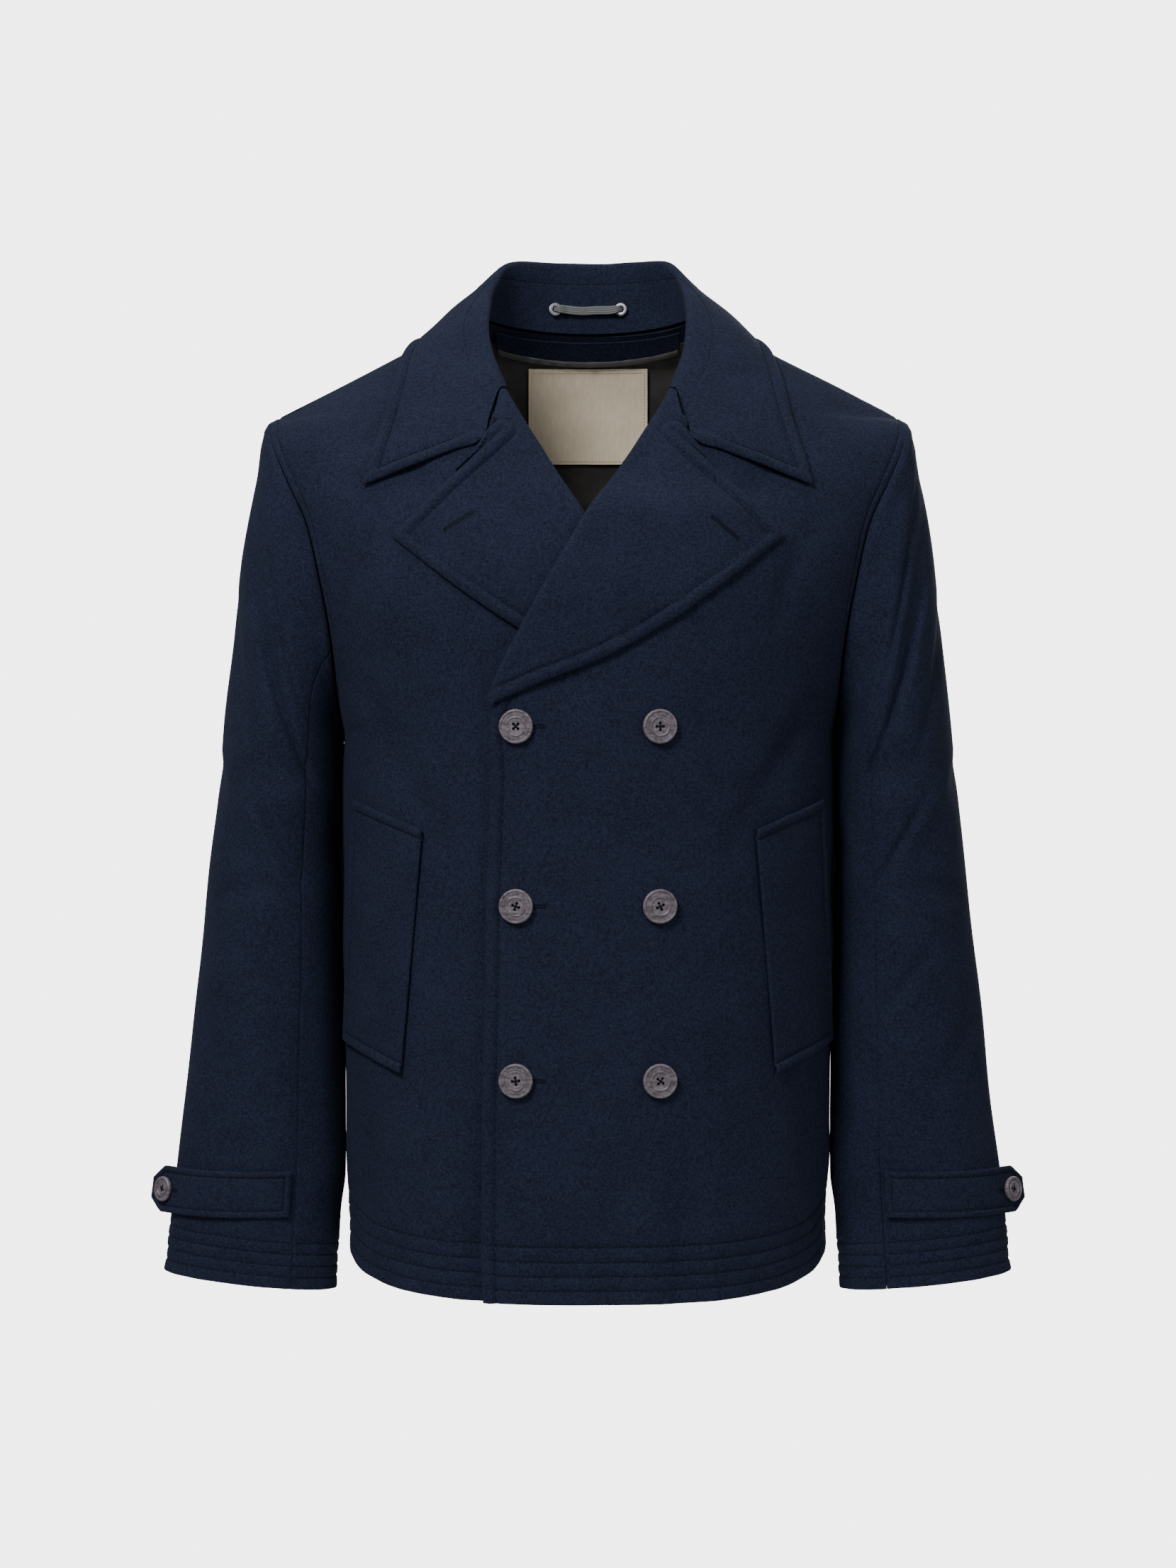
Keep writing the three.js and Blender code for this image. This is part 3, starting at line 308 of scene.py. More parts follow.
def body_y(x, z, face):
    arm_x = read(ARMHOLE_X, "z", "x", z)
    near = ramp(ARMHOLE_REACH, 1, np.abs(x) / arm_x) * (z > UNDERARM) * (z < SHOULDER_Z)
    y = plain_y(x, z, face) + (armhole_y(z, face) - plain_y(arm_x, z, face)) * near
    for fold in BODY_FOLDS:
        if fold["face"] == face:
            trough = hump((x - fold["x"]) / fold["wide"]) * hump((z - fold["z"]) / fold["high"])
            y = y - face * fold["depth"] * trough
    return y


def body_out(x, z, face):
    slope_x = (body_y(x + NUDGE, z, face) - body_y(x - NUDGE, z, face)) / (2 * NUDGE)
    slope_z = (body_y(x, z + NUDGE, face) - body_y(x, z - NUDGE, face)) / (2 * NUDGE)
    return unit(face * at(-slope_x, 1, -slope_z))


def on_body(x, z, face, level):
    """Points that stand level millimetres off the body's face."""
    return at(x, body_y(x, z, face), z) + body_out(x, z, face) * np.asarray(level)[..., None]


def lift(x, z):
    """How far the wearer's left front is lifted, where it crosses the right one."""
    fade = OVERLAP_FADE
    across = 1 - ramp(fade["from_x"], fade["to_x"], x)
    return OVERLAP_LIFT * across * (1 - ramp(fade["from_z"], fade["to_z"], z))


def flat_level(x, z):
    return 0 * x


def armhole(degrees):
    turn = np.radians(degrees)
    z = mix(UNDERARM, SHOULDER_Z, (1 + np.cos(turn)) / 2)
    deep = np.where(np.sin(turn) > 0, ARMHOLE_FRONT, ARMHOLE_BACK)
    return at(read(ARMHOLE_X, "z", "x", z), -deep * np.sin(turn), z)


def hem_rise(x, wide):
    share = np.minimum(np.abs(x) / wide, LEVEL_FROM)
    rounded = np.maximum(0, 1 - share ** ROUNDNESS) ** (1 / ROUNDNESS)
    return HEM_RISE * (1 - rounded) ** HEM_BEND


def round_front(across, z):
    wide = read(SECTIONS, "z", "wide", z)
    edge_x = read(FRONT_EDGE, "z", "x", z)
    first = np.sign(edge_x) * np.arcsin((np.abs(edge_x) / wide) ** (ROUNDNESS / 2))
    turn = mix(first, np.pi / 2, across)
    return wide * np.sign(turn) * np.abs(np.sin(turn)) ** (2 / ROUNDNESS)


def front_point(across, v, level):
    """Points of the left front. across runs from 0 at its edge to 1 at its side, v up its rows."""
    low = np.minimum(v / LOW_ROWS, 1)
    z0 = mix(HEM_FRONT, mix(BREAK_Z, UNDERARM, across), low)
    low_x = round_front(across, z0)
    low_z = z0 + hem_rise(low_x, read(SECTIONS, "z", "wide", z0)) * (1 - low)
    climb = np.maximum(v - LOW_ROWS, 0) / HIGH_ROWS
    arm = armhole(180 * (1 - climb))
    edge_z = mix(BREAK_Z, NECK_SIDE_Z, climb)
    first, here, last = (round_front(f, mix(BREAK_Z, UNDERARM, f)) for f in (0, across, 1))
    sideways = mix((here - first) / (last - first), across, ramp(0, 1, climb))
    high_x = mix(read(FRONT_EDGE, "z", "x", edge_z), arm[..., 0], sideways)
    high_z = mix(edge_z, arm[..., 2], across)
    x = np.where(v <= LOW_ROWS, low_x, high_x)
    z = np.where(v <= LOW_ROWS, low_z, high_z)
    return at(x, np.minimum(body_y(x, z, -1), -SEAM / 2) - level(x, z), z)


def back_point(across, v):
    """Points of the back. across runs from -1 to 1, from side to side."""
    side = np.sign(across)
    share = np.abs(across)
    low = np.minimum(v / LOW_ROWS, 1)
    sideways = np.sin(share * np.pi / 2) ** (2 / ROUNDNESS)
    z0 = mix(HEM_FRONT, UNDERARM, low)
    wide = read(SECTIONS, "z", "wide", z0)
    low_z = z0 + hem_rise(wide * sideways, wide) * (1 - low)
    climb = np.maximum(v - LOW_ROWS, 0) / HIGH_ROWS
    arm = armhole(180 * (1 + climb))
    on_shoulder = np.maximum(share - NECK_SHARE, 0) / (1 - NECK_SHARE)
    in_neck = np.sin(np.minimum(share / NECK_SHARE, 1) * np.pi / 2)
    top_x = mix(NECK_HALF * in_neck, SHOULDER_X, on_shoulder)
    top_z = mix(mix(NECK_BACK_Z, NECK_SIDE_Z, in_neck ** 2), SHOULDER_Z, on_shoulder)
    side_x = read(SECTIONS, "z", "wide", UNDERARM)
    fit = share ** 3
    high_x = mix(side_x * sideways, top_x, climb) + (arm[..., 0] - mix(side_x, SHOULDER_X, climb)) * fit
    high_z = mix(UNDERARM, top_z, climb) + (arm[..., 2] - mix(UNDERARM, SHOULDER_Z, climb)) * fit
    x = side * np.where(v <= LOW_ROWS, wide * sideways, high_x)
    z = np.where(v <= LOW_ROWS, low_z, high_z)
    return at(x, np.maximum(body_y(x, z, 1), SEAM / 2), z)


def roll_line(share):
    z = mix(BREAK_Z, GORGE_Z, share)
    return read(FRONT_EDGE, "z", "x", z), z


def roll_down(share):
    """The direction down the roll, along the body's face."""
    step = 0.02
    low_x, low_z = roll_line(np.maximum(share - step, 0))
    high_x, high_z = roll_line(np.minimum(share + step, 1))
    return unit(at(low_x, body_y(low_x, low_z, -1), low_z) - at(high_x, body_y(high_x, high_z, -1), high_z))


def roll_section(share, level, puff, edge, seats, turns, leaf):
    """Sections across a roll at each share: in under the front's edge, round and out to the edge."""
    x, z = roll_line(share)
    out = body_out(x, z, -1)
    beyond = unit(np.cross(roll_down(share), out))
    base = on_body(x, z, -1, level(x, z) - CLOTH)
    radius = ((2 * CLOTH + FOLD_LAY + puff) / 2)[..., None]
    columns = [base + beyond * far for far in seats]
    for turn in turns:
        along = beyond * (ROLL_SEAT + radius * np.sin(turn))
        columns.append(base + along + out * radius * (1 - np.cos(turn)))
    for f in leaf:
        to_x, to_z = edge(f)
        height = level(to_x, to_z) + FOLD_LAY + CLOTH + puff * (1 - f) ** 2
        columns.append(on_body(to_x, to_z, -1, height))
    return np.stack(columns, -2)


def body_top(x, y):
    """The height of the body's face above points of the floor plan."""
    low = np.full(np.shape(x), float(CHEST))
    high = shoulder_z(x) + np.where(y < 0, 0, BACK_CROWN)
    for _ in range(11):
        middle = (low + high) / 2
        here = np.where(y < 0, np.abs(body_y(x, middle, -1)), np.abs(body_y(x, middle, 1)))
        inside = here > np.abs(y)
        low = np.where(inside, middle, low)
        high = np.where(inside, high, middle)
    return low


def clear_of(points, far):
    """Moves points out of the body, until they are far enough off its face and its shoulder ridge."""
    points = points.copy()
    for _ in range(CLEAR_PASSES):
        x, y, z = (points[..., k] for k in range(3))
        for face in (-1, 1):
            out = body_out(x, z, face)
            height = dot(points - at(x, body_y(x, z, face), z), out)[..., 0]
            near = (z < shoulder_z(x) + far) & (height < far) & ((y < 0) == (face < 0))
            points = np.where(near[..., None], points + out * (far - height)[..., None], points)
    x, y, z = (points[..., k] for k in range(3))
    over = body_top(x, y) + RIDGE_SLANT * far + RIDGE_LIFT * hump(y / RIDGE_REACH)
    points[..., 2] = np.where(np.abs(y) < RIDGE_REACH, np.maximum(z, over), z)
    return points


def collar_section(place):
    """A section of the collar behind the gorge: up the stand, round the roll and down the fall."""
    row = {name: np.float64(values[place]) for name, values in COLLAR.items()}
    face = 1 if place < COLLAR_FRONT else -1
    seat = at(row["seat_x"], body_y(row["seat_x"], row["seat_z"], face) - face * CLOTH / 2, 0)
    seat = seat * (1 - SEAT_INSET / np.linalg.norm(seat))
    seat[2] = row["seat_z"] + SEAT_LIFT
    roll = at(row["roll_x"], row["roll_y"], row["roll_z"])
    edge = clear_of(at(row["edge_x"], row["edge_y"], row["edge_z"]), FALL_LAY + CLOTH)
    up = unit(roll - (seat + edge) / 2)
    out = unit((edge - seat) - up * dot(edge - seat, up))
    middle = roll - up * COLLAR_ROLL
    radius = COLLAR_ROLL + CLOTH / 2
    start = seat - out * CLOTH / 2
    points = [mix(start, middle - out * radius, k / (STAND_SAMPLES - 1)) for k in range(STAND_SAMPLES)]
    for k in range(1, ROLL_STEPS):
        turn = k / (ROLL_STEPS - 1) * np.pi
        points.append(middle - out * radius * np.cos(turn) + up * radius * np.sin(turn))
    outside = points[-1]
    for k in range(1, LEAF_SAMPLES + 1):
        f = k / LEAF_SAMPLES
        bowed = mix(outside, edge, f) + out * row["bow"] * np.sin(np.pi * f)
        points.append(clear_of(bowed, FALL_LAY + CLOTH))
    return np.array(points)


def collar_end():
    """The collar's end, beside the lapel's: down the gorge seam to the notch and out to the tip."""
    share = np.float64(1)
    start = roll_line(share)
    notch_share = NOTCH_SAMPLES / LEAF_SAMPLES

    def edge(f):
        if f < notch_share:
            return tuple(mix(a, b, f / notch_share) for a, b in zip(start, NOTCH))
        return tuple(mix(a, b, (f - notch_share) / (1 - notch_share)) for a, b in zip(NOTCH, COLLAR_TIP))

    turns = [k / ROLL_STEPS * np.pi for k in range(1, ROLL_STEPS + 1)]
    leaf = [k / LEAF_SAMPLES for k in range(1, LEAF_SAMPLES + 1)]
    puff = np.float64(GORGE_PUFF)
    section = roll_section(share, flat_level, puff, edge, (SEAM, ROLL_SEAT), turns, leaf)
    aside = at(start[1] - NOTCH[1], 0, NOTCH[0] - start[0])
    out = body_out(*start, -1)
    aside = unit(aside - out * dot(aside, out)) * GORGE_GAP
    upwards = -roll_down(share) * GORGE_GAP
    return np.array([point + (upwards if j < ROLL_STEPS else aside) for j, point in enumerate(section)])


def smooth_line(points, count):
    """A smooth curve through points along the first axis, as count + 1 points at even steps."""
    ends = [2 * points[:1] - points[1:2], points, 2 * points[-1:] - points[-2:-1]]
    points = np.concatenate(ends)
    made = []
    for step in np.linspace(0, len(points) - 3, count + 1):
        k = min(int(step), len(points) - 4)
        f = step - k
        near = points[k:k + 4]
        gaps = np.maximum(np.linalg.norm(np.diff(near, axis=0), axis=-1, keepdims=True) ** 0.5, 1e-6)
        a, b, c = gaps
        before = (near[1] - near[0]) / a - (near[2] - near[0]) / (a + b) + (near[2] - near[1]) / b
        after = (near[2] - near[1]) / b - (near[3] - near[1]) / (b + c) + (near[3] - near[2]) / c
        before, after = before * b, after * b
        square = -3 * near[1] + 3 * near[2] - 2 * before - after
        cube = 2 * near[1] - 2 * near[2] + before + after
        made.append(near[1] + before * f + square * f ** 2 + cube * f ** 3)
    return np.array(made)


def plain_ring(share, degrees):
    row = {name: read(SLEEVE, "at", name, share) for name in SLEEVE if name != "at"}
    turn = np.radians(degrees)
    x = (row["out_x"] + row["in_x"]) / 2 + np.cos(turn) * (row["out_x"] - row["in_x"]) / 2
    z = (row["out_z"] + row["in_z"]) / 2 + np.cos(turn) * (row["out_z"] - row["in_z"]) / 2
    return at(x, row["y"] - np.sin(turn) * row["deep"], z)


def sleeve_point(share, degrees):
    """Points of the left sleeve's outer face, at shares of the way down and degrees round."""
    points = plain_ring(share, degrees)
    head = (1 - ramp(0, HEAD_SHARE, share))[..., None]
    points = points + (armhole(degrees) + at(HEAD_SPACE, 0, 0) - plain_ring(0 * share, degrees)) * head
    middle_x = (read(SLEEVE, "at", "out_x", share) + read(SLEEVE, "at", "in_x", share)) / 2
    middle = at(middle_x, read(SLEEVE, "at", "y", share), points[..., 2])
    radial = unit(points - middle)
    for fold in SLEEVE_FOLDS:
        down = (share - fold["at"]) / fold["long"]
        around = (degrees - fold["angle"] - fold["lean"] * down) / fold["wide"]
        depth = fold["depth"] * hump(around) * hump(down)
        points = points - radial * depth[..., None]
    return points


def sleeve_out(share, degrees):
    low = sleeve_point(np.minimum(share + 0.012, 1), degrees)
    high = sleeve_point(np.maximum(share - 0.012, 0), degrees)
    around = sleeve_point(share, degrees + 3) - sleeve_point(share, degrees - 3)
    return unit(np.cross(high - low, around))


def share_at(z, degrees):
    """The share down the sleeve where its face is at a height, at an angle."""
    low = np.full(np.shape(z), 0.5)
    high = np.ones(np.shape(z))
    for _ in range(13):
        middle = (low + high) / 2
        above = sleeve_point(middle, degrees)[..., 2] > z
        low = np.where(above, middle, low)
        high = np.where(above, high, middle)
    return low


def tab_point(z, degrees, far):
    """Points of the left cuff tab's outer face, far millimetres past where it leaves the sleeve."""
    share = share_at(z, degrees)
    base = sleeve_point(share, degrees)
    next_on = sleeve_point(share_at(z, degrees - 2), degrees - 2) - base
    along = unit(next_on * (1, 1, 0))
    return base + sleeve_out(share, degrees) * (TAB_LAY + CLOTH) + along * np.asarray(far)[..., None]


# Panels

def run(points, axis):
    """How far each point of a grid is from the first, along one of its two ways."""
    steps = np.linalg.norm(np.diff(points, axis=axis), axis=-1)
    first = np.zeros_like(np.take(steps, [0], axis=axis))
    return np.concatenate([first, np.cumsum(steps, axis=axis)], axis=axis)


def respaced(points, axis, near, far, step):
    """Moves the points of each line to set distances from its ends, and evenly between those."""
    lines = np.moveaxis(points, axis, 0)
    length = run(lines, 0)
    middle = max(2, round((length[-1].mean() - near[-1] - far[-1]) / step))
    made = []
    for k in range(lines.shape[1]):
        whole = length[-1, k]
        squeeze = min(1, whole / (near[-1] + far[-1] + 3 * step))
        low, high = np.array(near) * squeeze, np.array(far) * squeeze
        inner = np.linspace(low[-1], whole - high[-1], middle + 1)[1:-1]
        stops = np.concatenate([low, inner, whole - high[::-1]])
        made.append([np.interp(stops, length[:, k], lines[:, k, a]) for a in range(3)])
    return np.moveaxis(np.array(made).transpose(2, 0, 1), 0, axis)


def stops(rows=(), most=4.5):
    """Distances from an edge that lie close together at the edge and at each row of stitching."""
    wanted = [0, 0.35, 0.9, 1.7, 2.8]
    for row in rows:
        wanted += [row + part for part in (-2.2, -1.2, -0.55, 0, 0.55, 1.2, 2.2)]
    wanted = sorted(wanted)
    made = [wanted[0]]
    for value in wanted[1:]:
        gap = value - made[-1]
        if gap > 0.25:
            parts = math.ceil(gap / most)
            made += [made[-1] + gap * k / parts for k in range(1, parts + 1)]
    return made


def evened(grid, passes):
    """A grid with each value drawn to the mean of its neighbours, a few times over."""
    for _ in range(passes):
        for axis in (0, 1):
            ends = [np.take(grid, [0], axis), grid, np.take(grid, [-1], axis)]
            wide = np.concatenate(ends, axis)
            count = grid.shape[axis]
            low, high = (np.take(wide, range(k, count + k), axis) for k in (0, 2))
            grid = (low + 2 * grid + high) / 4
    return grid


def outs_of(points, passes=6):
    outs = np.cross(np.gradient(points, axis=0), np.gradient(points, axis=1))
    return unit(evened(unit(outs), passes))


class Panel:
    """A piece of cloth: a grid of points on its outer face, and how far each is from its edges."""

    def __init__(self, points, across=None, up=None, step=(4.5, 4.5)):
        if across:
            points = respaced(points, 1, across[0], across[1], step[0])
        if up:
            points = respaced(points, 0, up[0], up[1], step[1])
        self.points = points
        self.left = run(points, 1)
        self.right = self.left[:, -1:] - self.left
        self.low = run(points, 0)
        self.high = self.low[-1:] - self.low
        self.outs = outs_of(points)

    def raise_by(self, relief):
        self.points = self.points + self.outs * relief[..., None]
        self.outs = outs_of(self.points, 2)

    def mirror(self):
        """The panel of the other side, with its face still outwards."""
        self.points = self.points[:, ::-1] * (-1, 1, 1)
        self.outs = outs_of(self.points)
        self.left, self.right = self.right[:, ::-1], self.left[:, ::-1]
        self.low, self.high = self.low[:, ::-1], self.high[:, ::-1]

    def surface(self):
        """The outer face, to find the nearest points of it."""
        high, wide = self.points.shape[:2]
        corner = np.arange(high * wide).reshape(high, wide)
        quads = np.stack([corner[:-1, :-1], corner[1:, :-1], corner[1:, 1:], corner[:-1, 1:]], -1)
        return BVHTree.FromPolygons(self.points.reshape(-1, 3).tolist(), quads.reshape(-1, 4).tolist())


def grooves(distance, rows, deep=1.15, wide=1.95):
    return -sum(deep * np.exp(-((distance - row) / wide) ** 2) for row in rows)


def swell(distance, row, high):
    """The soft ridge between an edge and a row of stitching."""
    return PUFF_HIGH * high * hump((distance - row / 2) / (row / 2)) ** 0.6


def beside(points):
    """Fills the body's sides and the sleeves' inner sides out towards each other, but for a small gap."""
    x, z = np.abs(points[..., 0]), points[..., 2]
    heights = SLEEVE["in_z"][::-1]
    gap = np.interp(z, heights, SLEEVE["in_x"][::-1]) - read(SECTIONS, "z", "wide", z)
    deep = np.clip((gap - SIDE_FILL["gap"]) / 2, 0, SIDE_FILL["most"])
    tall = ramp(-318, -340, z) * ramp(SIDE_FILL["fade"], SIDE_FILL["full"], z)
    return deep * tall * ramp(170, 183, x) * ramp(214, 200, x)


HEIGHTS = np.arange(-700, -290, HEIGHT_STEP)
REACH = {side: np.full((2, len(HEIGHTS)), -1e3) for side in (-1, 1)}


def spread(points, side):
    """Each point's distance out, straight across and as the camera sees it, and the slot of its height."""
    x, y, z = np.moveaxis(points.reshape(-1, 3), 1, 0)
    slot = np.rint((z - HEIGHTS[0]) / HEIGHT_STEP).astype(int)
    used = (slot >= 0) & (slot < len(HEIGHTS))
    return np.stack([x * side, x * side * VIEW_FAR / (VIEW_FAR + y)])[:, used], slot[used]


def note_reach(panel):
    """Notes how far out the body's finished panels reach at each height."""
    for side in REACH:
        far, slot = spread(panel.points, side)
        for k in (0, 1):
            np.maximum.at(REACH[side][k], slot, far[k])


def draw_in(panel, side, seam):
    """Draws a sleeve's inner side in towards the body's, on the given side, before it is mirrored."""
    far, slot = spread(panel.points, 1)
    inner = np.full((2, len(HEIGHTS)), 1e3)
    for k in (0, 1):
        np.minimum.at(inner[k], slot, far[k])
    gap = np.max(inner - REACH[side], axis=0) - SIDE_FILL["gap"]
    tall = ramp(-302, -318, HEIGHTS) * ramp(SIDE_FILL["fade"], SIDE_FILL["full"], HEIGHTS)
    shift = np.clip(gap, DRAW_IN["out"], DRAW_IN["in"]) * tall
    least = np.minimum(shift, np.minimum(np.roll(shift, 1), np.roll(shift, -1)))
    shift = evened(least[:, None], 1)[:, 0]
    x, z = panel.points[..., 0], panel.points[..., 2]
    close = hump((x - np.interp(z, HEIGHTS, inner[0])) / DRAW_IN["wide"])
    panel.points[..., 0] = x - np.interp(z, HEIGHTS, shift) * close * ramp(0, DRAW_IN["seam"], seam)
    panel.outs = outs_of(panel.points, 2)


def creases(points, table):
    """Soft troughs, each set by its middle, lean, half sizes and depth on the front or back."""
    total = 0
    for x, z, lean, long, wide, depth in table:
        turn = math.radians(lean)
        aside = points[..., 0] - x
        above = points[..., 2] - z
        along = aside * math.sin(turn) + above * math.cos(turn)
        across = aside * math.cos(turn) - above * math.sin(turn)
        bent = across - 0.12 * along * along / long
        total = total - CREASE_DEEP * depth * hump(along / long) * hump(bent / wide)
    return total


# Meshes

def linked(name, mesh, finish, body="root"):
    piece = bpy.data.objects.new(name, mesh)
    bpy.context.scene.collection.objects.link(piece)
    mesh.materials.append(finish)
    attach(piece, body)
    return piece


def settle(piece, sharp):
    """Applies a piece's modifiers and shades it smooth, but for edges past an angle."""
    view = bpy.context.evaluated_depsgraph_get()
    mesh = bpy.data.meshes.new_from_object(piece.evaluated_get(view))
    piece.modifiers.clear()
    piece.vertex_groups.clear()
    piece.data = mesh
    mesh.shade_smooth()
    mesh.set_sharp_from_angle(angle=math.radians(sharp))


def shell(name, panel, thick, finish, soft=(), round_off=1.6):
    """A closed wall under a panel's outer face, thin at the edges named in soft, which round off."""
    high, wide = panel.points.shape[:2]
    middle = (panel.points - panel.outs * thick / 2).reshape(-1, 3) * MM
    body = bmesh.new()
    bmesh.ops.create_grid(body, x_segments=wide - 1, y_segments=high - 1, size=0.5)
    places = np.array([vert.co[:2] for vert in body.verts]) + 0.5
    column = (wide - 1) - np.rint(places[:, 0] * (wide - 1)).astype(int)
    row = np.rint(places[:, 1] * (high - 1)).astype(int)
    index = row * wide + column
    for vert, place in zip(body.verts, middle[index]):
        vert.co = place
    chart = body.loops.layers.uv.new("cloth")
    across = panel.left.reshape(-1)[index] * MM
    upward = panel.low.reshape(-1)[index] * MM
    for face in body.faces:
        for loop in face.loops:
            loop[chart].uv = (across[loop.vert.index], upward[loop.vert.index])
    mesh = bpy.data.meshes.new(name)
    body.to_mesh(mesh)
    body.free()
    piece = linked(name, mesh, finish)
    fullness = np.ones(high * wide)
    for edge in soft:
        near = np.minimum(getattr(panel, edge).reshape(-1) / round_off, 1)
        fullness = np.minimum(fullness, np.sqrt(1 - (1 - near) ** 2))
    group = piece.vertex_groups.new(name="fullness")
    for vert, value in enumerate(fullness[index]):
        group.add([vert], float(value), "REPLACE")
    wall = piece.modifiers.new("wall", "SOLIDIFY")
    wall.thickness = thick * MM
    wall.offset = 0
    wall.vertex_group = "fullness"
    wall.thickness_vertex_group = 0.12
    settle(piece, 60)
    return piece


# Finishes

class Shade:
    """One socket of a material's nodes. Its operators add Math nodes, and make adds any other."""

    def __init__(self, tree, socket=None):
        self.tree = tree
        self.socket = socket

    def make(self, kind, settings=None, inputs=None, output=0):
        node = self.tree.nodes.new("ShaderNode" + kind)
        for name, value in (settings or {}).items():
            setattr(node, name, value)
        for name, value in (inputs or {}).items():
            if isinstance(value, Shade):
                self.tree.links.new(value.socket, node.inputs[name])
            else:
                node.inputs[name].default_value = value
        return Shade(self.tree, node.outputs[output])

    def maths(self, operation, first, second):
        return self.make("Math", {"operation": operation}, {0: first, 1: second})

    def __add__(self, other):
        return self.maths("ADD", self, other)

    def __sub__(self, other):
        return self.maths("SUBTRACT", self, other)

    def __rsub__(self, other):
        return self.maths("SUBTRACT", other, self)

    def __mul__(self, other):
        return self.maths("MULTIPLY", self, other)

    __radd__ = __add__
    __rmul__ = __mul__

    def between(self, low, high):
        inputs = {"Value": self, "From Min": low, "From Max": high}
        return self.make("MapRange", {"interpolation_type": "SMOOTHSTEP"}, inputs)

    def blend(self, first, second):
        """The first colour where this is 0 and the second where it is 1."""
        return self.make("Mix", {"data_type": "RGBA"}, {0: self, 6: first, 7: second}, 2)

    def noise(self, scale, detail=3, rough=0.55, stretch=(1, 1, 1)):
        spread = self.make("Mapping", {}, {"Vector": self, "Scale": stretch})
        inputs = {"Vector": spread, "Scale": scale, "Detail": detail, "Roughness": rough}
        return self.make("TexNoise", {}, inputs)


def finish(name, paint):
    """A material whose look paint sets, given the object's own coordinates and its cloth chart."""
    material = bpy.data.materials.new(name)
    material.use_nodes = True
    tree = material.node_tree
    tree.nodes.clear()
    shade = Shade(tree)
    place = shade.make("TexCoord", output="Object")
    chart = shade.make("UVMap", {"uv_map": "cloth"})
    surface = shade.make("BsdfPrincipled", {}, paint(place, chart))
    output = tree.nodes.new("ShaderNodeOutputMaterial")
    tree.links.new(surface.socket, output.inputs["Surface"])
    return material


def bump(height, strength, distance):
    inputs = {"Height": height, "Strength": strength, "Distance": distance * MM}
    return height.make("Bump", {}, inputs)


def paint_wool(place, chart):
    fibres = place.noise(1400, 3, 0.7)
    flecks = place.noise(520, 2, 0.6)
    clouds = place.noise(30, 2, 0.5)
    tone = fibres * 0.55 + flecks * 0.37 + clouds * 0.08
    deep = (0.0027, 0.0037, 0.0090, 1)
    light = (0.0158, 0.0210, 0.0470, 1)
    return {
        "Base Color": tone.between(0.33, 0.68).blend(deep, light),
        "Roughness": 0.92,
        "Specular IOR Level": 0.12,
        "Sheen Weight": 0.02,
        "Sheen Roughness": 0.5,
        "Sheen Tint": (0.4, 0.5, 0.75, 1),
        "Normal": bump(fibres * 0.6 + flecks * 0.4, 0.45, 0.7),
    }


def paint_pale_thread(place, chart):
    twist = place.noise(2200, 2, 0.5)
    return {
        "Base Color": twist.between(0.3, 0.7).blend((0.55, 0.46, 0.33, 1), (0.85, 0.75, 0.58, 1)),
        "Roughness": 0.6,
    }


def paint_thread(place, chart):
    twist = place.noise(2200, 2, 0.5)
    return {
        "Base Color": twist.between(0.3, 0.7).blend((0.0018, 0.0024, 0.0055, 1), (0.005, 0.007, 0.015, 1)),
        "Roughness": 0.75,
        "Specular IOR Level": 0.15,
        "Normal": bump(twist, 0.4, 0.2),
    }


def satin_threads(chart, direction):
    inputs = {"Vector": chart, "Scale": 900, "Distortion": 0.6}
    return chart.make("TexWave", {"bands_direction": direction}, inputs)


def paint_satin(place, chart):
    threads = satin_threads(chart, "X")
    clouds = place.noise(30, 2, 0.5)
    return {
        "Base Color": clouds.between(0.3, 0.7).blend((0.026, 0.024, 0.024, 1), (0.05, 0.046, 0.044, 1)),
        "Roughness": 0.3 + threads * 0.08,
        "Sheen Weight": 0.15,
        "Normal": bump(threads, 0.12, 0.15),
    }


def paint_label(place, chart):
    ribs = chart.make("TexWave", {"bands_direction": "X"}, {"Vector": chart, "Scale": 620, "Distortion": 0.5})
    slubs = chart.noise(420, 2, 0.5, (1, 0.22, 1))
    tone = slubs * 0.7 + ribs * 0.3
    return {
        "Base Color": tone.between(0.15, 0.85).blend((0.80, 0.66, 0.47, 1), (0.95, 0.83, 0.64, 1)),
        "Roughness": 0.38 + ribs * 0.12,
        "Sheen Weight": 0.1,
        "Normal": bump(ribs * 0.6 + slubs * 0.4, 0.3, 0.2),
    }


def paint_trim(place, chart):
    threads = satin_threads(chart, "Y")
    return {
        "Base Color": (0.062, 0.06, 0.059, 1),
        "Roughness": 0.26 + threads * 0.08,
        "Normal": bump(threads, 0.12, 0.15),
    }


def paint_tape(place, chart):
    ribs = chart.make("TexWave", {"bands_direction": "Y"}, {"Vector": chart, "Scale": 190, "Distortion": 0.3})
    fuzz = place.noise(900, 3, 0.6)
    tone = ribs * 0.6 + fuzz * 0.4
    return {
        "Base Color": tone.between(0.2, 0.8).blend((0.045, 0.046, 0.048, 1), (0.145, 0.15, 0.152, 1)),
        "Roughness": 0.8,
        "Normal": bump(ribs * 0.7 + fuzz * 0.3, 0.6, 0.35),
    }


def paint_horn(place, chart):
    """Aged buttons: mauve-grey, with small rubbed marks."""
    rubbed = place.noise(420, 4, 0.65)
    grain = place.noise(90, 3, 0.6, (1, 1, 5))
    tone = rubbed * 0.55 + grain * 0.45
    return {
        "Base Color": tone.between(0.34, 0.66).blend((0.052, 0.042, 0.052, 1), (0.165, 0.14, 0.165, 1)),
        "Roughness": 0.36 + rubbed * 0.22,
        "Coat Weight": 0.12,
        "Coat Roughness": 0.25,
        "Normal": bump(tone, 0.25, 0.25),
    }


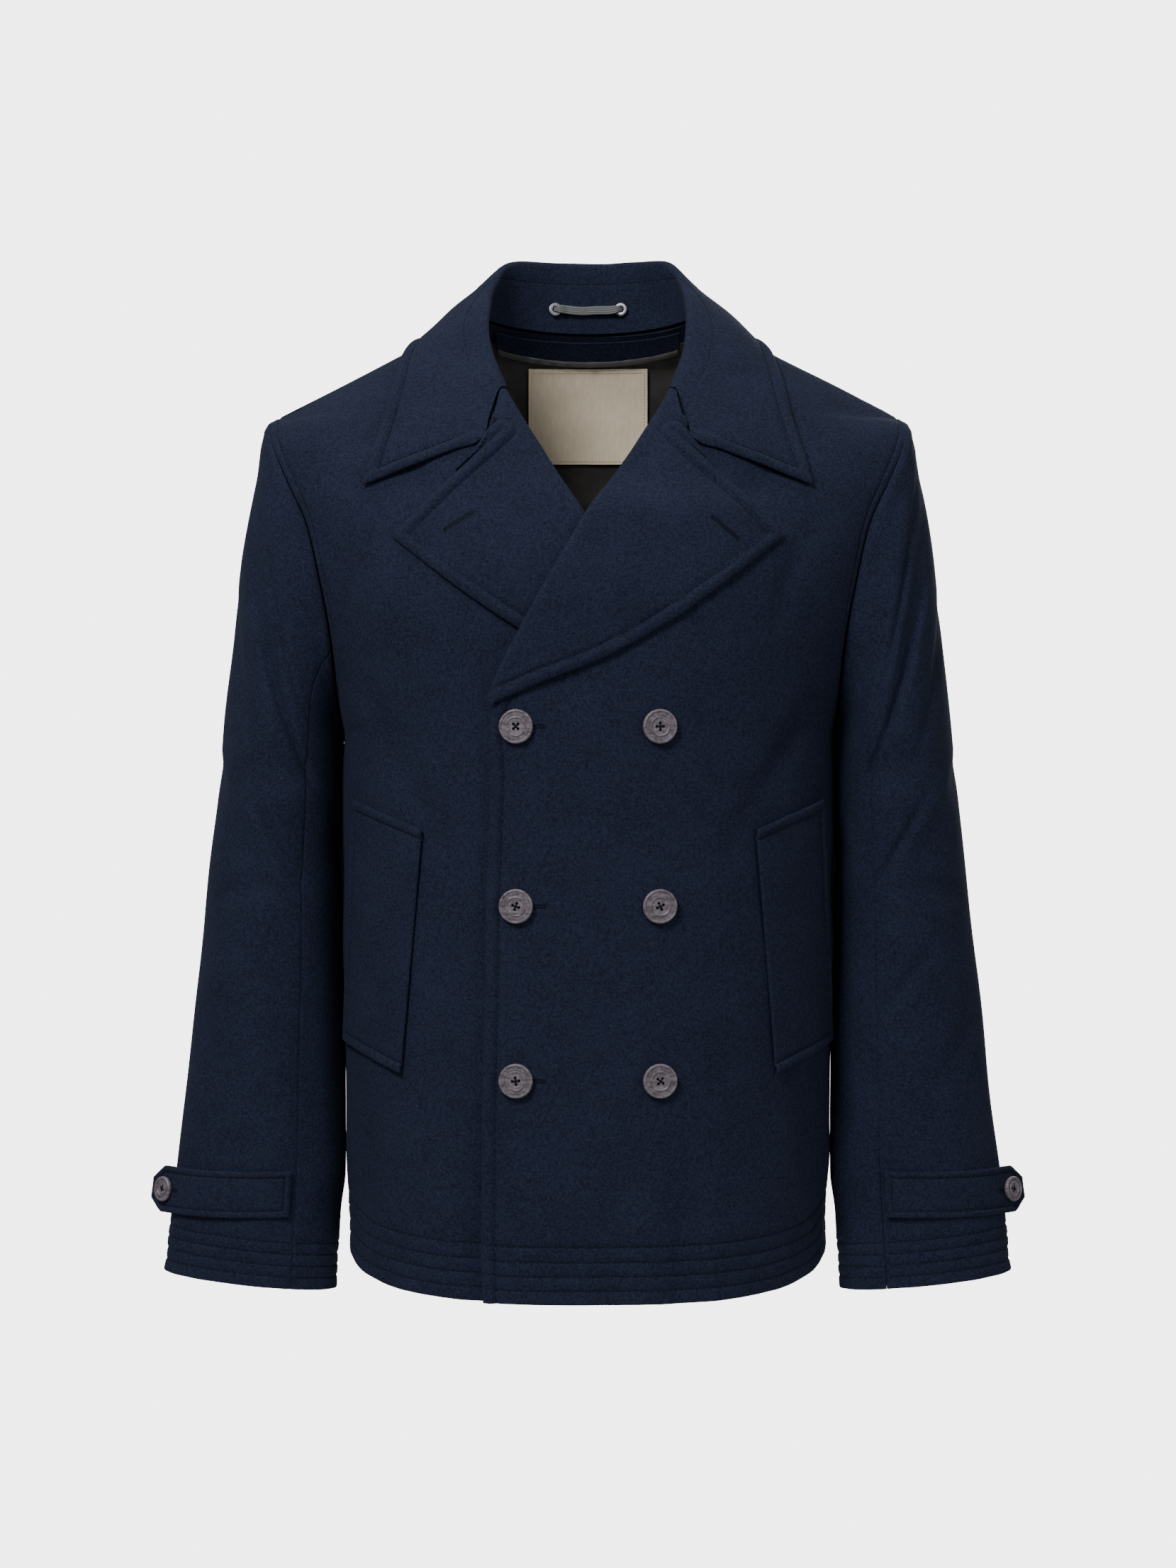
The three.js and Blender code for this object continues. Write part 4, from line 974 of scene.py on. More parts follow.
def paint_steel(place, chart):
    worn = place.noise(700, 4, 0.6)
    return {
        "Base Color": worn.between(0.3, 0.7).blend((0.16, 0.165, 0.19, 1), (0.4, 0.41, 0.45, 1)),
        "Metallic": 0.85,
        "Roughness": 0.3 + worn * 0.25,
        "Normal": bump(worn, 0.15, 0.1),
    }


WOOL = finish("wool", paint_wool)
THREAD = finish("thread", paint_thread)
PALE_THREAD = finish("pale thread", paint_pale_thread)
SATIN = finish("satin", paint_satin)
LABEL_SATIN = finish("label satin", paint_label)
TRIM = finish("satin trim", paint_trim)
TAPE = finish("tape", paint_tape)
HORN = finish("horn", paint_horn)
STEEL = finish("steel", paint_steel)


# Sewing

def stitch_template():
    """One stitch: a short thick thread along X, a millimetre long and wide before it is scaled."""
    body = bmesh.new()
    bmesh.ops.create_uvsphere(body, u_segments=6, v_segments=4, radius=0.5)
    bmesh.ops.rotate(body, verts=body.verts, matrix=Matrix.Rotation(math.pi / 2, 3, "Y"))
    verts = np.array([vert.co[:] for vert in body.verts])
    faces = [[vert.index for vert in face.verts] for face in body.faces]
    body.free()
    return verts, faces


STITCH_VERTS, STITCH_FACES = stitch_template()


class Threads:
    """Gathers short lengths of thread and makes them one mesh."""

    def __init__(self):
        self.verts = []

    def lay(self, start, end, out, radius):
        along = end - start
        x_way = unit(along)
        y_way = unit(np.cross(out, x_way))
        sizes = (np.linalg.norm(along) + radius, 2 * radius, 2 * radius)
        turned = (STITCH_VERTS * sizes) @ np.array([x_way, y_way, np.cross(x_way, y_way)])
        self.verts.append(turned + (start + end) / 2)

    def finish(self, name, slot="wool", material=THREAD):
        count = len(self.verts)
        faces = [[v + k * len(STITCH_VERTS) for v in face] for k in range(count) for face in STITCH_FACES]
        mesh = bpy.data.meshes.new(name)
        mesh.from_pydata((np.concatenate(self.verts) * MM).tolist(), [], faces)
        mesh.shade_smooth()
        return linked(name, mesh, material)


class Sewing(Threads):
    """Threads that lie on a panel."""

    def __init__(self, panel):
        super().__init__()
        self.surface = panel.surface()

    def seat(self, point):
        place, out, _, _ = self.surface.find_nearest(Vector(point))
        return np.array(place), np.array(out)

    def stitch(self, start, end, radius=STITCH["radius"]):
        start, out = self.seat(start)
        end, _ = self.seat(end)
        self.lay(start + out * radius * 0.45, end + out * radius * 0.45, out, radius)

    def sew(self, line, length=STITCH["length"], gap=STITCH["gap"]):
        """Even stitches along a line of points."""
        travelled = run(line[:, None], 0)[:, 0]
        count = int(travelled[-1] / (length + gap))
        for k in range(count):
            far = travelled[-1] / count * np.array([k, k + length / (length + gap)])
            start, end = (np.array([np.interp(f, travelled, line[:, a]) for a in range(3)]) for f in far)
            if np.linalg.norm(end - start) > 0.3 * length:
                self.stitch(start, end)

    def buttonhole(self, start, end, half=1.45):
        """A slit along a line, with close stitches over both its edges and a bar at each end."""
        start, out = self.seat(start)
        end, _ = self.seat(end)
        along = unit(end - start)
        across = unit(np.cross(out, along))
        length = np.linalg.norm(end - start)
        for far in np.arange(0, length, 0.62):
            for edge in (-1, 1):
                spot = start + along * far + across * edge * 0.22
                self.stitch(spot, spot + across * edge * half, 0.26)
        for tip in (start - along * 0.4, end + along * 0.4):
            for far in (-0.35, 0, 0.35):
                self.stitch(tip + along * far - across * half, tip + along * far + across * half, 0.26)


def row_at(panel, edge, far, start=0, end=0):
    """The line on a panel at a distance from one of its edges."""
    axis = 1 if edge in ("left", "right") else 0
    distance = np.moveaxis(getattr(panel, edge), axis, 0)
    points = np.moveaxis(panel.points, axis, 0)
    if distance[0, 0] > distance[-1, 0]:
        distance, points = distance[::-1], points[::-1]
    columns = range(points.shape[1])
    line = np.array([[np.interp(far, distance[:, k], points[:, k, a]) for a in range(3)] for k in columns])
    length = run(line[:, None], 0)[:, 0]
    kept = (length >= start) & (length <= length[-1] - end)
    return line[kept]


# Fronts and back

def grid_of(high, wide, point_at):
    v, u = np.meshgrid(np.linspace(0, 1, high + 1), np.linspace(0, 1, wide + 1), indexing="ij")
    return point_at(v, u)


FRONT_CREASES = {
    1: (
        (150, -330, 24, 70, 15, 1.8), (128, -360, 30, 90, 12, 1.2), (168, -640, -8, 90, 16, 2.0),
        (30, -640, 6, 120, 26, 1.0), (112, -150, 40, 60, 16, 1.6), (150, -205, 18, 60, 13, 1.5),
        (-20, -560, -10, 90, 22, 0.8),
    ),
    -1: (
        (148, -322, 26, 75, 15, 2.0), (122, -372, 34, 80, 13, 1.2), (166, -650, -6, 80, 15, 1.8),
        (96, -470, 4, 150, 20, 1.3), (88, -690, 5, 70, 16, 1.6), (108, -145, 42, 62, 15, 1.5),
    ),
}
BACK_CREASES = (
    (-150, -330, -30, 90, 16, 2.4), (152, -318, 28, 85, 15, 2.2), (-100, -380, -36, 80, 13, 1.4),
    (96, -372, 34, 85, 14, 1.5), (10, -480, 4, 130, 26, 1.2), (-40, -130, -80, 90, 15, 1.3),
    (48, -118, 82, 80, 14, 1.2), (-165, -610, 8, 100, 15, 1.8), (160, -600, -9, 110, 16, 1.9),
)


def hem_relief(panel, seam):
    """Rows of stitching round the hem, with soft puckers between them, which fade at the side seams."""
    pucker = uneven(panel.points, 17, 5) * 0.34 * ramp(HEM_ROWS[-1] + 6, HEM_ROWS[-1] - 6, panel.low)
    return (grooves(panel.low, HEM_ROWS, 0.95, 1.4) + pucker) * ramp(-2, 9, seam)


def surface_spot(x, z, level):
    x, z = np.float64(x), np.float64(z)
    return on_body(x, z, -1, level(x, z))


def make_front(side):
    name = "front_over" if side > 0 else "front_under"
    level = lift if side > 0 else flat_level
    rows = LOW_ROWS + HIGH_ROWS
    points = grid_of(260, 140, lambda v, u: front_point(1 - u, v * rows, level))
    edge_rows = (EDGE_ROW,)
    panel = Panel(
        points,
        across=(stops((ARMHOLE_ROW,)), stops(edge_rows)),
        up=(stops(HEM_ROWS), stops()),
    )
    armhole_side = panel.points[..., 2] > UNDERARM + 4
    below_break = ramp(BREAK_Z + 12, BREAK_Z - 8, panel.points[..., 2])
    relief = hem_relief(panel, panel.left)
    relief = relief + (grooves(panel.right, edge_rows) + swell(panel.right, EDGE_ROW, 0.9)) * below_break
    relief = relief + grooves(panel.left, (ARMHOLE_ROW,), 0.8, 1.3) * armhole_side
    relief = relief - 0.5 * np.exp(-(panel.left / 1.5) ** 2)
    relief = relief + creases(panel.points, FRONT_CREASES[side])
    relief = relief + uneven(panel.points, 85, 11 + side) * 0.7 * ramp(0, 20, panel.left)
    panel.raise_by(relief + beside(panel.points))
    if side < 0:
        panel.mirror()
    note_reach(panel)
    piece = shell(name + "_cloth", panel, CLOTH, WOOL, soft=("low", "right" if side > 0 else "left"))
    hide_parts(name)
    sewing = Sewing(panel)
    front_edge = "right" if side > 0 else "left"
    seam_edge = "left" if side > 0 else "right"
    turned = row_at(panel, front_edge, EDGE_ROW)
    sewing.sew(turned[turned[:, 2] < BREAK_Z + 2])
    arm_line = row_at(panel, seam_edge, ARMHOLE_ROW)
    sewing.sew(arm_line[arm_line[:, 2] > UNDERARM + 6])
    for far in HEM_ROWS:
        sewing.sew(row_at(panel, "low", far, start=2, end=EDGE_ROW))
    if side > 0:
        for z in BUTTON_ROWS:
            sewing.buttonhole(surface_spot(-BUTTON_X - 4, z, level), surface_spot(-BUTTON_X + 20, z, level))
    bag = np.array([surface_spot(x, z, level) for x, z in POCKET_BAG]) * (side, 1, 1)
    sewing.sew(bag, length=1.5, gap=6)
    sewing.finish(name + "_stitching")
    return panel


def make_back():
    rows = LOW_ROWS + HIGH_ROWS
    points = grid_of(260, 220, lambda v, u: back_point(2 * u - 1, v * rows))
    panel = Panel(
        points,
        across=(stops((ARMHOLE_ROW,)), stops((ARMHOLE_ROW,))),
        up=(stops(HEM_ROWS), stops()),
    )
    side_edge = np.minimum(panel.left, panel.right)
    armhole_side = panel.points[..., 2] > UNDERARM + 4
    relief = hem_relief(panel, side_edge) + grooves(side_edge, (ARMHOLE_ROW,), 0.8, 1.3) * armhole_side
    relief = relief - 0.5 * np.exp(-(side_edge / 1.5) ** 2)
    relief = relief + creases(panel.points, BACK_CREASES)
    relief = relief + uneven(panel.points, 95, 17) * 0.8 * ramp(0, 20, side_edge)
    panel.raise_by(relief + beside(panel.points))
    note_reach(panel)
    piece = shell("back_cloth", panel, CLOTH, WOOL, soft=("low",))
    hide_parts("back")
    sewing = Sewing(panel)
    for edge in ("left", "right"):
        line = row_at(panel, edge, ARMHOLE_ROW)
        sewing.sew(line[line[:, 2] > UNDERARM + 6])
    for far in HEM_ROWS:
        sewing.sew(row_at(panel, "low", far, start=2, end=2))
    sewing.finish("back_stitching")
    return panel


front_over = make_front(1)
front_under = make_front(-1)
back = make_back()


# Lapels and collar

def from_line(points, line):
    """How far points lie from a line of points."""
    flat = points.reshape(-1, 3)
    best = np.full(len(flat), np.inf)
    for a, b in zip(line[:-1], line[1:]):
        way = b - a
        share = np.clip(((flat - a) @ way) / max(way @ way, 1e-9), 0, 1)
        best = np.minimum(best, np.linalg.norm(flat - a - share[:, None] * way, axis=1))
    return best.reshape(points.shape[:2])


def run_on(line, far=16):
    """A line that goes straight on for a way before its first point."""
    return np.concatenate([line[:1] + unit(line[:1] - line[6:7]) * far, line])


def inset(line, far, inwards):
    """The line that lies far inside an outline, with its corners kept."""
    tangent = unit(np.gradient(line, axis=0))
    moved = line + unit(inwards - tangent * dot(inwards, tangent)) * far
    kept = from_line(moved[:, None], line)[:, 0] > far * 0.985
    return moved[kept]


def make_lapel(side):
    name = "lapel_over" if side > 0 else "lapel_under"
    level = lift if side > 0 else flat_level
    share = np.linspace(1, 0, 180)
    puff = (ROLL_PUFF if side > 0 else 0) * hump((share - PUFF_MIDDLE) / PUFF_HALF)
    start = roll_line(share)
    end = (read(LAPEL_EDGE, "share", "x", share), read(LAPEL_EDGE, "share", "z", share))
    points = roll_section(
        share, level, puff,
        lambda f: tuple(mix(a, b, f) for a, b in zip(start, end)),
        (SEAM, ROLL_SEAT), np.linspace(0, np.pi, 14)[1:], np.linspace(0, 1, 110)[1:],
    )
    panel = Panel(points, across=(stops(), stops(most=1.7)), up=(stops(), stops()), step=(1.7, 1.7))
    edge = from_line(panel.points, run_on(panel.points[:, -1]))
    shown = ramp(ROLL_SEAT + 6, ROLL_SEAT + 14, panel.left)
    relief = (grooves(edge, (EDGE_ROW,), 1.15, 1.45) + swell(edge, EDGE_ROW, 1.1)) * shown
    relief = relief + uneven(panel.points, 60, 23 + side) * 0.55 * shown
    panel.raise_by(relief)
    if side < 0:
        panel.mirror()
    panel.edge = edge if side > 0 else edge[:, ::-1]
    piece = shell(name + "_cloth", panel, CLOTH, WOOL, soft=("edge",), round_off=2)
    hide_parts(name)
    outer = panel.points[:, -1 if side > 0 else 0]
    middle = panel.points.reshape(-1, 3).mean(0)
    sewing = Sewing(panel)
    sewing.sew(inset(outer, EDGE_ROW, middle - outer))
    ends = [surface_spot(x, z, level) for x, z in LAPEL_HOLE[side]]
    sewing.buttonhole(*(end * (side, 1, 1) for end in ends))
    sewing.finish(name + "_stitching")
    return panel


def collar_half():
    return [collar_section(place) for place in range(len(COLLAR["bow"]))] + [collar_end()]


def make_collar():
    half = collar_half()
    other = [section * (-1, 1, 1) for section in half[:0:-1]]
    points = smooth_line(np.array(other + half), 300)
    fall = STAND_SAMPLES + ROLL_STEPS - 1
    points[1:-1, fall:] = clear_of(points[1:-1, fall:], FALL_LAY + CLOTH)
    points = smooth_line(points.transpose(1, 0, 2), 150).transpose(1, 0, 2)
    even = evened(points, 60)
    inner = (np.arange(151) / 150 * (len(half[0]) - 1)) > fall
    off_ends = ramp(0, 30, np.minimum(np.arange(301), np.arange(301)[::-1]))
    points = points + (even - points) * (off_ends[:, None] * inner[None, :])[..., None]
    panel = Panel(
        points, across=(stops(), stops(most=1.8)), up=(stops(most=1.8), stops(most=1.8)), step=(1.8, 2.2),
    )
    notch = NOTCH_SAMPLES + STAND_SAMPLES + ROLL_STEPS - 1
    outer = panel.points[:, -1]
    ends = []
    for end in (0, -1):
        line = panel.points[end]
        near = np.argmin(np.linalg.norm(line - half[-1][notch] * (1 if end else -1, 1, 1), axis=1))
        ends.append(line[near:])
    outline = np.concatenate([run_on(ends[0]), outer[1:-1], run_on(ends[1])[::-1]])
    panel.edge = from_line(panel.points, outline)
    shown = ramp(50, 70, panel.left)
    relief = (grooves(panel.edge, (EDGE_ROW,), 1.15, 1.45) + swell(panel.edge, EDGE_ROW, 1.1)) * shown
    relief = relief + grooves(panel.left, (STAND_ROW,), 0.5, 1.0)
    relief = relief + uneven(panel.points, 55, 31) * 0.5
    panel.raise_by(relief)
    piece = shell("collar_cloth", panel, CLOTH, WOOL, soft=("edge",), round_off=2)
    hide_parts("collar")
    middle = panel.points[:, panel.points.shape[1] // 2]
    sewing = Sewing(panel)
    long = inset(outer, EDGE_ROW, middle - outer)
    sewing.sew(long)
    for end, towards in ((0, 12), (-1, -13)):
        sewing.sew(inset(ends[end], EDGE_ROW, panel.points[towards][-len(ends[end]):] - ends[end]))
    sewing.sew(row_at(panel, "left", STAND_ROW, start=60, end=60))
    sewing.finish("collar_stitching")
    return panel


lapels = {side: make_lapel(side) for side in (1, -1)}
collar = make_collar()


# Sleeves

SLEEVE_CREASES = (
    # angle, share down, half angle, half share, lean and depth
    (60, 0.17, 20, 0.09, 55, 2.2), (84, 0.3, 16, 0.1, 70, 2.0), (40, 0.36, 18, 0.09, 40, 1.5),
    (100, 0.52, 18, 0.05, 40, 2.0), (66, 0.6, 22, 0.04, -30, 1.6), (20, 0.5, 26, 0.03, 15, 1.3),
    (96, 0.7, 16, 0.05, 30, 1.5), (-40, 0.2, 18, 0.1, -50, 2.0), (-70, 0.33, 16, 0.09, -60, 1.8),
    (-96, 0.46, 18, 0.05, -30, 2.2), (-60, 0.56, 20, 0.04, 20, 1.6), (-30, 0.42, 24, 0.03, 0, 1.2),
    (170, 0.45, 18, 0.1, 20, 1.6), (200, 0.3, 16, 0.12, -20, 1.5), (50, 0.78, 22, 0.05, 25, 1.2),
)


def sleeve_relief(share, degrees):
    total = 0
    for angle, place, half, long, lean, depth in SLEEVE_CREASES:
        down = (share - place) / long
        around = (degrees - angle - lean * down + 180) % 360 - 180
        total = total - SLEEVE_CREASE_DEEP * depth * hump(around / half) * hump(down)
    return total


def make_sleeve(side, part, first, last):
    name = f"sleeve_{part}_{'left' if side > 0 else 'right'}"

    def point_at(v, u):
        degrees = mix(first, last, u)
        share = (1 - v) ** 1.25
        relief = sleeve_relief(share, degrees) * ramp(0, 0.05, share)
        return sleeve_point(share, degrees) + sleeve_out(share, degrees) * relief[..., None]

    panel = Panel(
        grid_of(230, 110, point_at),
        across=(stops(), stops()),
        up=(stops(CUFF_ROWS), stops()),
    )
    seam = np.minimum(panel.left, panel.right)
    rows_relief = grooves(panel.low, CUFF_ROWS, 0.95, 1.5)
    rows_relief = rows_relief + uneven(panel.points, 15, 41) * 0.36 * ramp(42, 34, panel.low)
    relief = rows_relief * ramp(-1, 7, seam)
    relief = relief - 0.55 * np.exp(-(seam / 1.4) ** 2) - 0.6 * np.exp(-(panel.high / 1.6) ** 2)
    relief = relief + swell(panel.high, 12, 0.8)
    wander = 0.8 if part == "top" else 0.15
    relief = relief + uneven(panel.points, 80, 43 + side) * wander * ramp(0, 18, panel.high)
    relief = relief + beside(panel.points) * (1 if part == "under" else 0)
    panel.raise_by(relief)
    if part == "under":
        draw_in(panel, side, seam)
    if side < 0:
        panel.mirror()
    piece = shell(name + "_cloth", panel, CLOTH, WOOL, soft=("low",))
    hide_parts(name, *([name + "_low"] if part == "top" else []))
    sewing = Sewing(panel)
    for far in CUFF_ROWS:
        sewing.sew(row_at(panel, "low", far, start=1, end=1))
    sewing.finish(name + "_stitching")
    return panel


sleeves = {
    (side, part): make_sleeve(side, part, *ends)
    for side in (1, -1)
    for part, ends in (("top", (HINDSEAM - 360, FORESEAM)), ("under", (FORESEAM, HINDSEAM)))
}


# Pockets and cuff tabs

def make_welt(side):
    name = f"pocket_welt_{'left' if side > 0 else 'right'}"
    level = lift if side > 0 else flat_level

    def point_at(v, u):
        bottom = [mix(WELT["bottom_out"][k], WELT["bottom_in"][k], u) for k in range(2)]
        top = [mix(WELT["top_out"][k], WELT["top_in"][k], u) for k in range(2)]
        x, z = (mix(bottom[k], top[k], v) for k in range(2))
        return on_body(x, z, -1, level(x, z) + FOLD_LAY + WELT_WALL)

    rows = stops((WELT_ROW,))
    panel = Panel(grid_of(120, 60, point_at), across=(rows, stops()), up=(rows, rows), step=(3, 3))
    sewn = np.minimum(np.minimum(panel.left, panel.low), panel.high)
    panel.edge = np.minimum(sewn, panel.right)
    relief = grooves(sewn, (WELT_ROW,), 1.0, 1.35) + swell(sewn, WELT_ROW, 0.9)
    relief = relief + uneven(panel.points, 50, 53 + side) * 0.4
    panel.raise_by(relief)
    if side < 0:
        panel.mirror()
        panel.edge = panel.edge[:, ::-1]
    piece = shell(name + "_cloth", panel, WELT_WALL, WOOL, soft=("edge",), round_off=1.8)
    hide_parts(name)
    sewing = Sewing(panel)
    for edge in ("low", "high", "left" if side > 0 else "right"):
        short = WELT_ROW * (edge in ("left", "right"))
        sewing.sew(row_at(panel, edge, WELT_ROW, start=short, end=short))
    sewing.finish(name + "_stitching")
    return panel


def make_tab(side):
    name = f"cuff_tab_{'left' if side > 0 else 'right'}"
    wrap = 60
    free = 30

    def point_at(v, u):
        step = (1 - u) * (wrap + free)
        degrees = mix(TAB_START, TAB_LEAVE, np.minimum(step / wrap, 1))
        far = np.maximum(step - wrap, 0) / free * TAB_FREE
        narrow = np.maximum(far - (TAB_FREE - TAB_POINT), 0) / TAB_POINT
        half = mix((TAB_TOP - TAB_BOTTOM) / 2, TAB_TIP_HIGH / 2, narrow)
        middle = (TAB_TOP + TAB_BOTTOM) / 2
        return tab_point(mix(middle - half, middle + half, v), degrees, far)

    rows = stops((TAB_ROW,))
    panel = Panel(grid_of(30, wrap + free, point_at), across=(rows, rows), up=(rows, rows), step=(3, 3))
    panel.edge = np.minimum(np.minimum(panel.left, panel.low), np.minimum(panel.high, panel.right))
    panel.raise_by(grooves(panel.edge, (TAB_ROW,), 0.75, 1.1) + swell(panel.edge, TAB_ROW, 0.5))
    if side < 0:
        panel.mirror()
        panel.edge = panel.edge[:, ::-1]
    piece = shell(name + "_cloth", panel, CLOTH, WOOL, soft=("edge",), round_off=1.6)
    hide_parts(name)
    sewing = Sewing(panel)
    for edge in ("low", "high", "left", "right"):
        sewing.sew(row_at(panel, edge, TAB_ROW, start=TAB_ROW, end=TAB_ROW), length=2.6)
    middle = panel.points[panel.points.shape[0] // 2]
    from_tip = run(middle[:, None], 0)[:, 0]
    if side < 0:
        from_tip = from_tip[-1] - from_tip
    hole = [middle[np.argmin(np.abs(from_tip - far))] for far in (TAB_BUTTON_IN - 3, TAB_BUTTON_IN + 15)]
    sewing.buttonhole(*hole)
    sewing.finish(name + "_stitching")
    return panel


for side in (1, -1):
    make_welt(side)
tabs = {side: make_tab(side) for side in (1, -1)}


# Inside the neck

def inside(high, wide, lay, place_at):
    def point_at(v, u):
        x, z = place_at(v, u)
        return on_body(x, z, 1, np.full(np.shape(x), -(CLOTH + LAY + LINING + lay)))
    return grid_of(high, wide, point_at)


def make_lining():
    low_row, side_column = 6, 0.1
    rows = LOW_ROWS + HIGH_ROWS

    def point_at(v, u):
        return back_point(mix(-1 + side_column, 1 - side_column, u), mix(low_row, rows - 0.4, v))

    panel = Panel(grid_of(110, 110, point_at), across=(stops(), stops()), up=(stops(), stops()), step=(5, 5))
    below = CLOTH + LAY + LINING_DEEPER * ramp(-140, -190, panel.points[..., 2])
    panel.raise_by(creases(panel.points, BACK_CREASES) - below + uneven(panel.points, 40, 61) * 0.2)
    piece = shell("lining_back_satin", panel, LINING, SATIN)
    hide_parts("lining_back")


def make_facing():
    def place_at(v, u):
        x = mix(-FACING["half"], FACING["half"], u)
        bend = (x / NECK_HALF) ** 2
        top = mix(NECK_BACK_Z, NECK_SIDE_Z, bend) - FACING["below"]
        return x, mix(mix(FACING["middle"], FACING["side"], bend), top, v)

    points = inside(12, 80, FACING["lay"], place_at)
    panel = Panel(points, across=(stops(), stops()), up=(stops(), stops()), step=(3, 3))
    piece = shell("neck_facing_cloth", panel, FACING["wall"], WOOL, soft=("low",))
    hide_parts("neck_facing")


def make_label():
    def place_at(v, u):
        x = mix(-LABEL["half"], LABEL["half"], u)
        return x, mix(LABEL["bottom"], LABEL["top"], v) + 0 * x

    points = inside(40, 50, LABEL["lay"], place_at)
    panel = Panel(points, across=(stops(), stops()), up=(stops(), stops()), step=(2.5, 2.5))
    panel.raise_by(-uneven(panel.points, 26, 67) * 0.18)
    piece = shell("neck_label_satin", panel, LABEL["wall"], LABEL_SATIN)
    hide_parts("neck_label")
    inner = Panel((panel.points - panel.outs * LABEL["wall"])[:, ::-1])
    sewing = Sewing(inner)
    for edge in ("left", "right", "low", "high"):
        sewing.sew(row_at(inner, edge, 2.6, start=2.6, end=2.6), length=1.9, gap=0.8)
    sewing.finish("neck_label_stitching", "label", PALE_THREAD)


def make_trim():
    """The narrow band of satin that edges the lining, below the neck facing."""
    def place_at(v, u):
        x = mix(-TRIM_HALF, TRIM_HALF, u)
        middle = mix(FACING["middle"], FACING["side"], (x / NECK_HALF) ** 2) - TRIM_DROP
        return x, middle + mix(-TRIM_HIGH / 2, TRIM_HIGH / 2, v)

    lay = FACING["lay"] + FACING["wall"] + LAY
    panel = Panel(inside(10, 160, lay, place_at))
    ruck = uneven(panel.points, 9, 71) * 0.25 - 0.5 * hump(panel.low / panel.low[-1:] * 2 - 1)
    panel.raise_by(ruck)
    piece = shell("lining_trim_satin", panel, 0.6, TRIM, soft=("low", "high"), round_off=0.8)


make_lining()
make_facing()
make_label()
make_trim()


# Buttons

def turned(profile, steps, closed=False):
    """A mesh spun about Z from points given by radius and height."""
    body = bmesh.new()
    verts = [body.verts.new((r, 0, z)) for r, z in profile]
    pairs = list(zip(verts[:-1], verts[1:])) + ([(verts[-1], verts[0])] if closed else [])
    edges = [body.edges.new(pair) for pair in pairs]
    bmesh.ops.spin(
        body, geom=verts + edges, cent=(0, 0, 0), axis=(0, 0, 1),
        angle=2 * math.pi, steps=steps, use_merge=True,
    )
    bmesh.ops.remove_doubles(body, verts=body.verts, dist=0.001)
    bmesh.ops.recalc_face_normals(body, faces=body.faces)
    return body


def meshed(name, body):
    mesh = bpy.data.meshes.new(name)
    body.to_mesh(mesh)
    body.free()
    return mesh


def button_template(size):
    """A button that faces up Z: a rounded rim, a ribbed band, a raised ring and a dish with four holes."""
    radius, thick = size["radius"], size["thick"]
    ring = radius * 0.5
    profile = (
        (0, 0), (radius - 1.6, 0), (radius - 0.45, 0.4), (radius, thick * 0.45), (radius - 0.12, thick - 0.9),
        (radius - 0.6, thick - 0.2), (radius - 1.2, thick), (radius - 1.8, thick - 0.2),
        (radius - 2.15, thick - 0.75), (ring + 1.25, thick - 0.75), (ring + 0.9, thick - 0.2),
        (ring + 0.45, thick - 0.05), (ring, thick - 0.25), (ring - 0.45, thick - 0.85),
        (ring * 0.45, thick - 1.15), (0, thick - 1.2),
    )
    blank = bpy.data.objects.new("blank", meshed("blank", turned(profile, 56)))
    holes = bmesh.new()
    for k in range(4):
        turn = (k + 0.5) * math.pi / 2
        spot = (size["spread"] * math.cos(turn), size["spread"] * math.sin(turn), 0)
        bmesh.ops.create_cone(
            holes, cap_ends=True, segments=16, radius1=size["hole"], radius2=size["hole"], depth=3 * thick,
            matrix=Matrix.Translation(spot),
        )
    drill = bpy.data.objects.new("drill", meshed("drill", holes))
    for part in (blank, drill):
        bpy.context.scene.collection.objects.link(part)
    cut = blank.modifiers.new("holes", "BOOLEAN")
    cut.object = drill
    cut.operation = "DIFFERENCE"
    view = bpy.context.evaluated_depsgraph_get()
    body = bmesh.new()
    body.from_mesh(bpy.data.meshes.new_from_object(blank.evaluated_get(view)))
    for part in (blank, drill):
        bpy.data.objects.remove(part)
    band = (radius - 2.15 + ring + 1.25) / 2
    for k in range(RIBS):
        if k % (RIBS // 4) < 2:
            continue
        turn = Matrix.Rotation(2 * math.pi * k / RIBS, 4, "Z")
        place = Matrix.Translation((band, 0, thick - 0.72))
        shape = Matrix.Diagonal((radius - 4.1 - ring, 0.42, 0.62, 1))
        bmesh.ops.create_cube(body, size=1, matrix=turn @ place @ shape)
    mesh = meshed("button", body)
    mesh.shade_smooth()
    mesh.set_sharp_from_angle(angle=math.radians(38))
    return mesh


def placing(place, out, turn=0):
    """The matrix that takes a thing that faces up Z, in millimetres, to its place."""
    z_way = unit(np.array(out, float))
    x_way = unit(np.cross((0, 0, 1), z_way))
    y_way = np.cross(z_way, x_way)
    c, s = math.cos(turn), math.sin(turn)
    axes = np.array([x_way * c + y_way * s, y_way * c - x_way * s, z_way]).T * MM
    matrix = np.eye(4)
    matrix[:3, :3] = axes
    matrix[:3, 3] = np.array(place) * MM
    return Matrix(matrix.tolist())


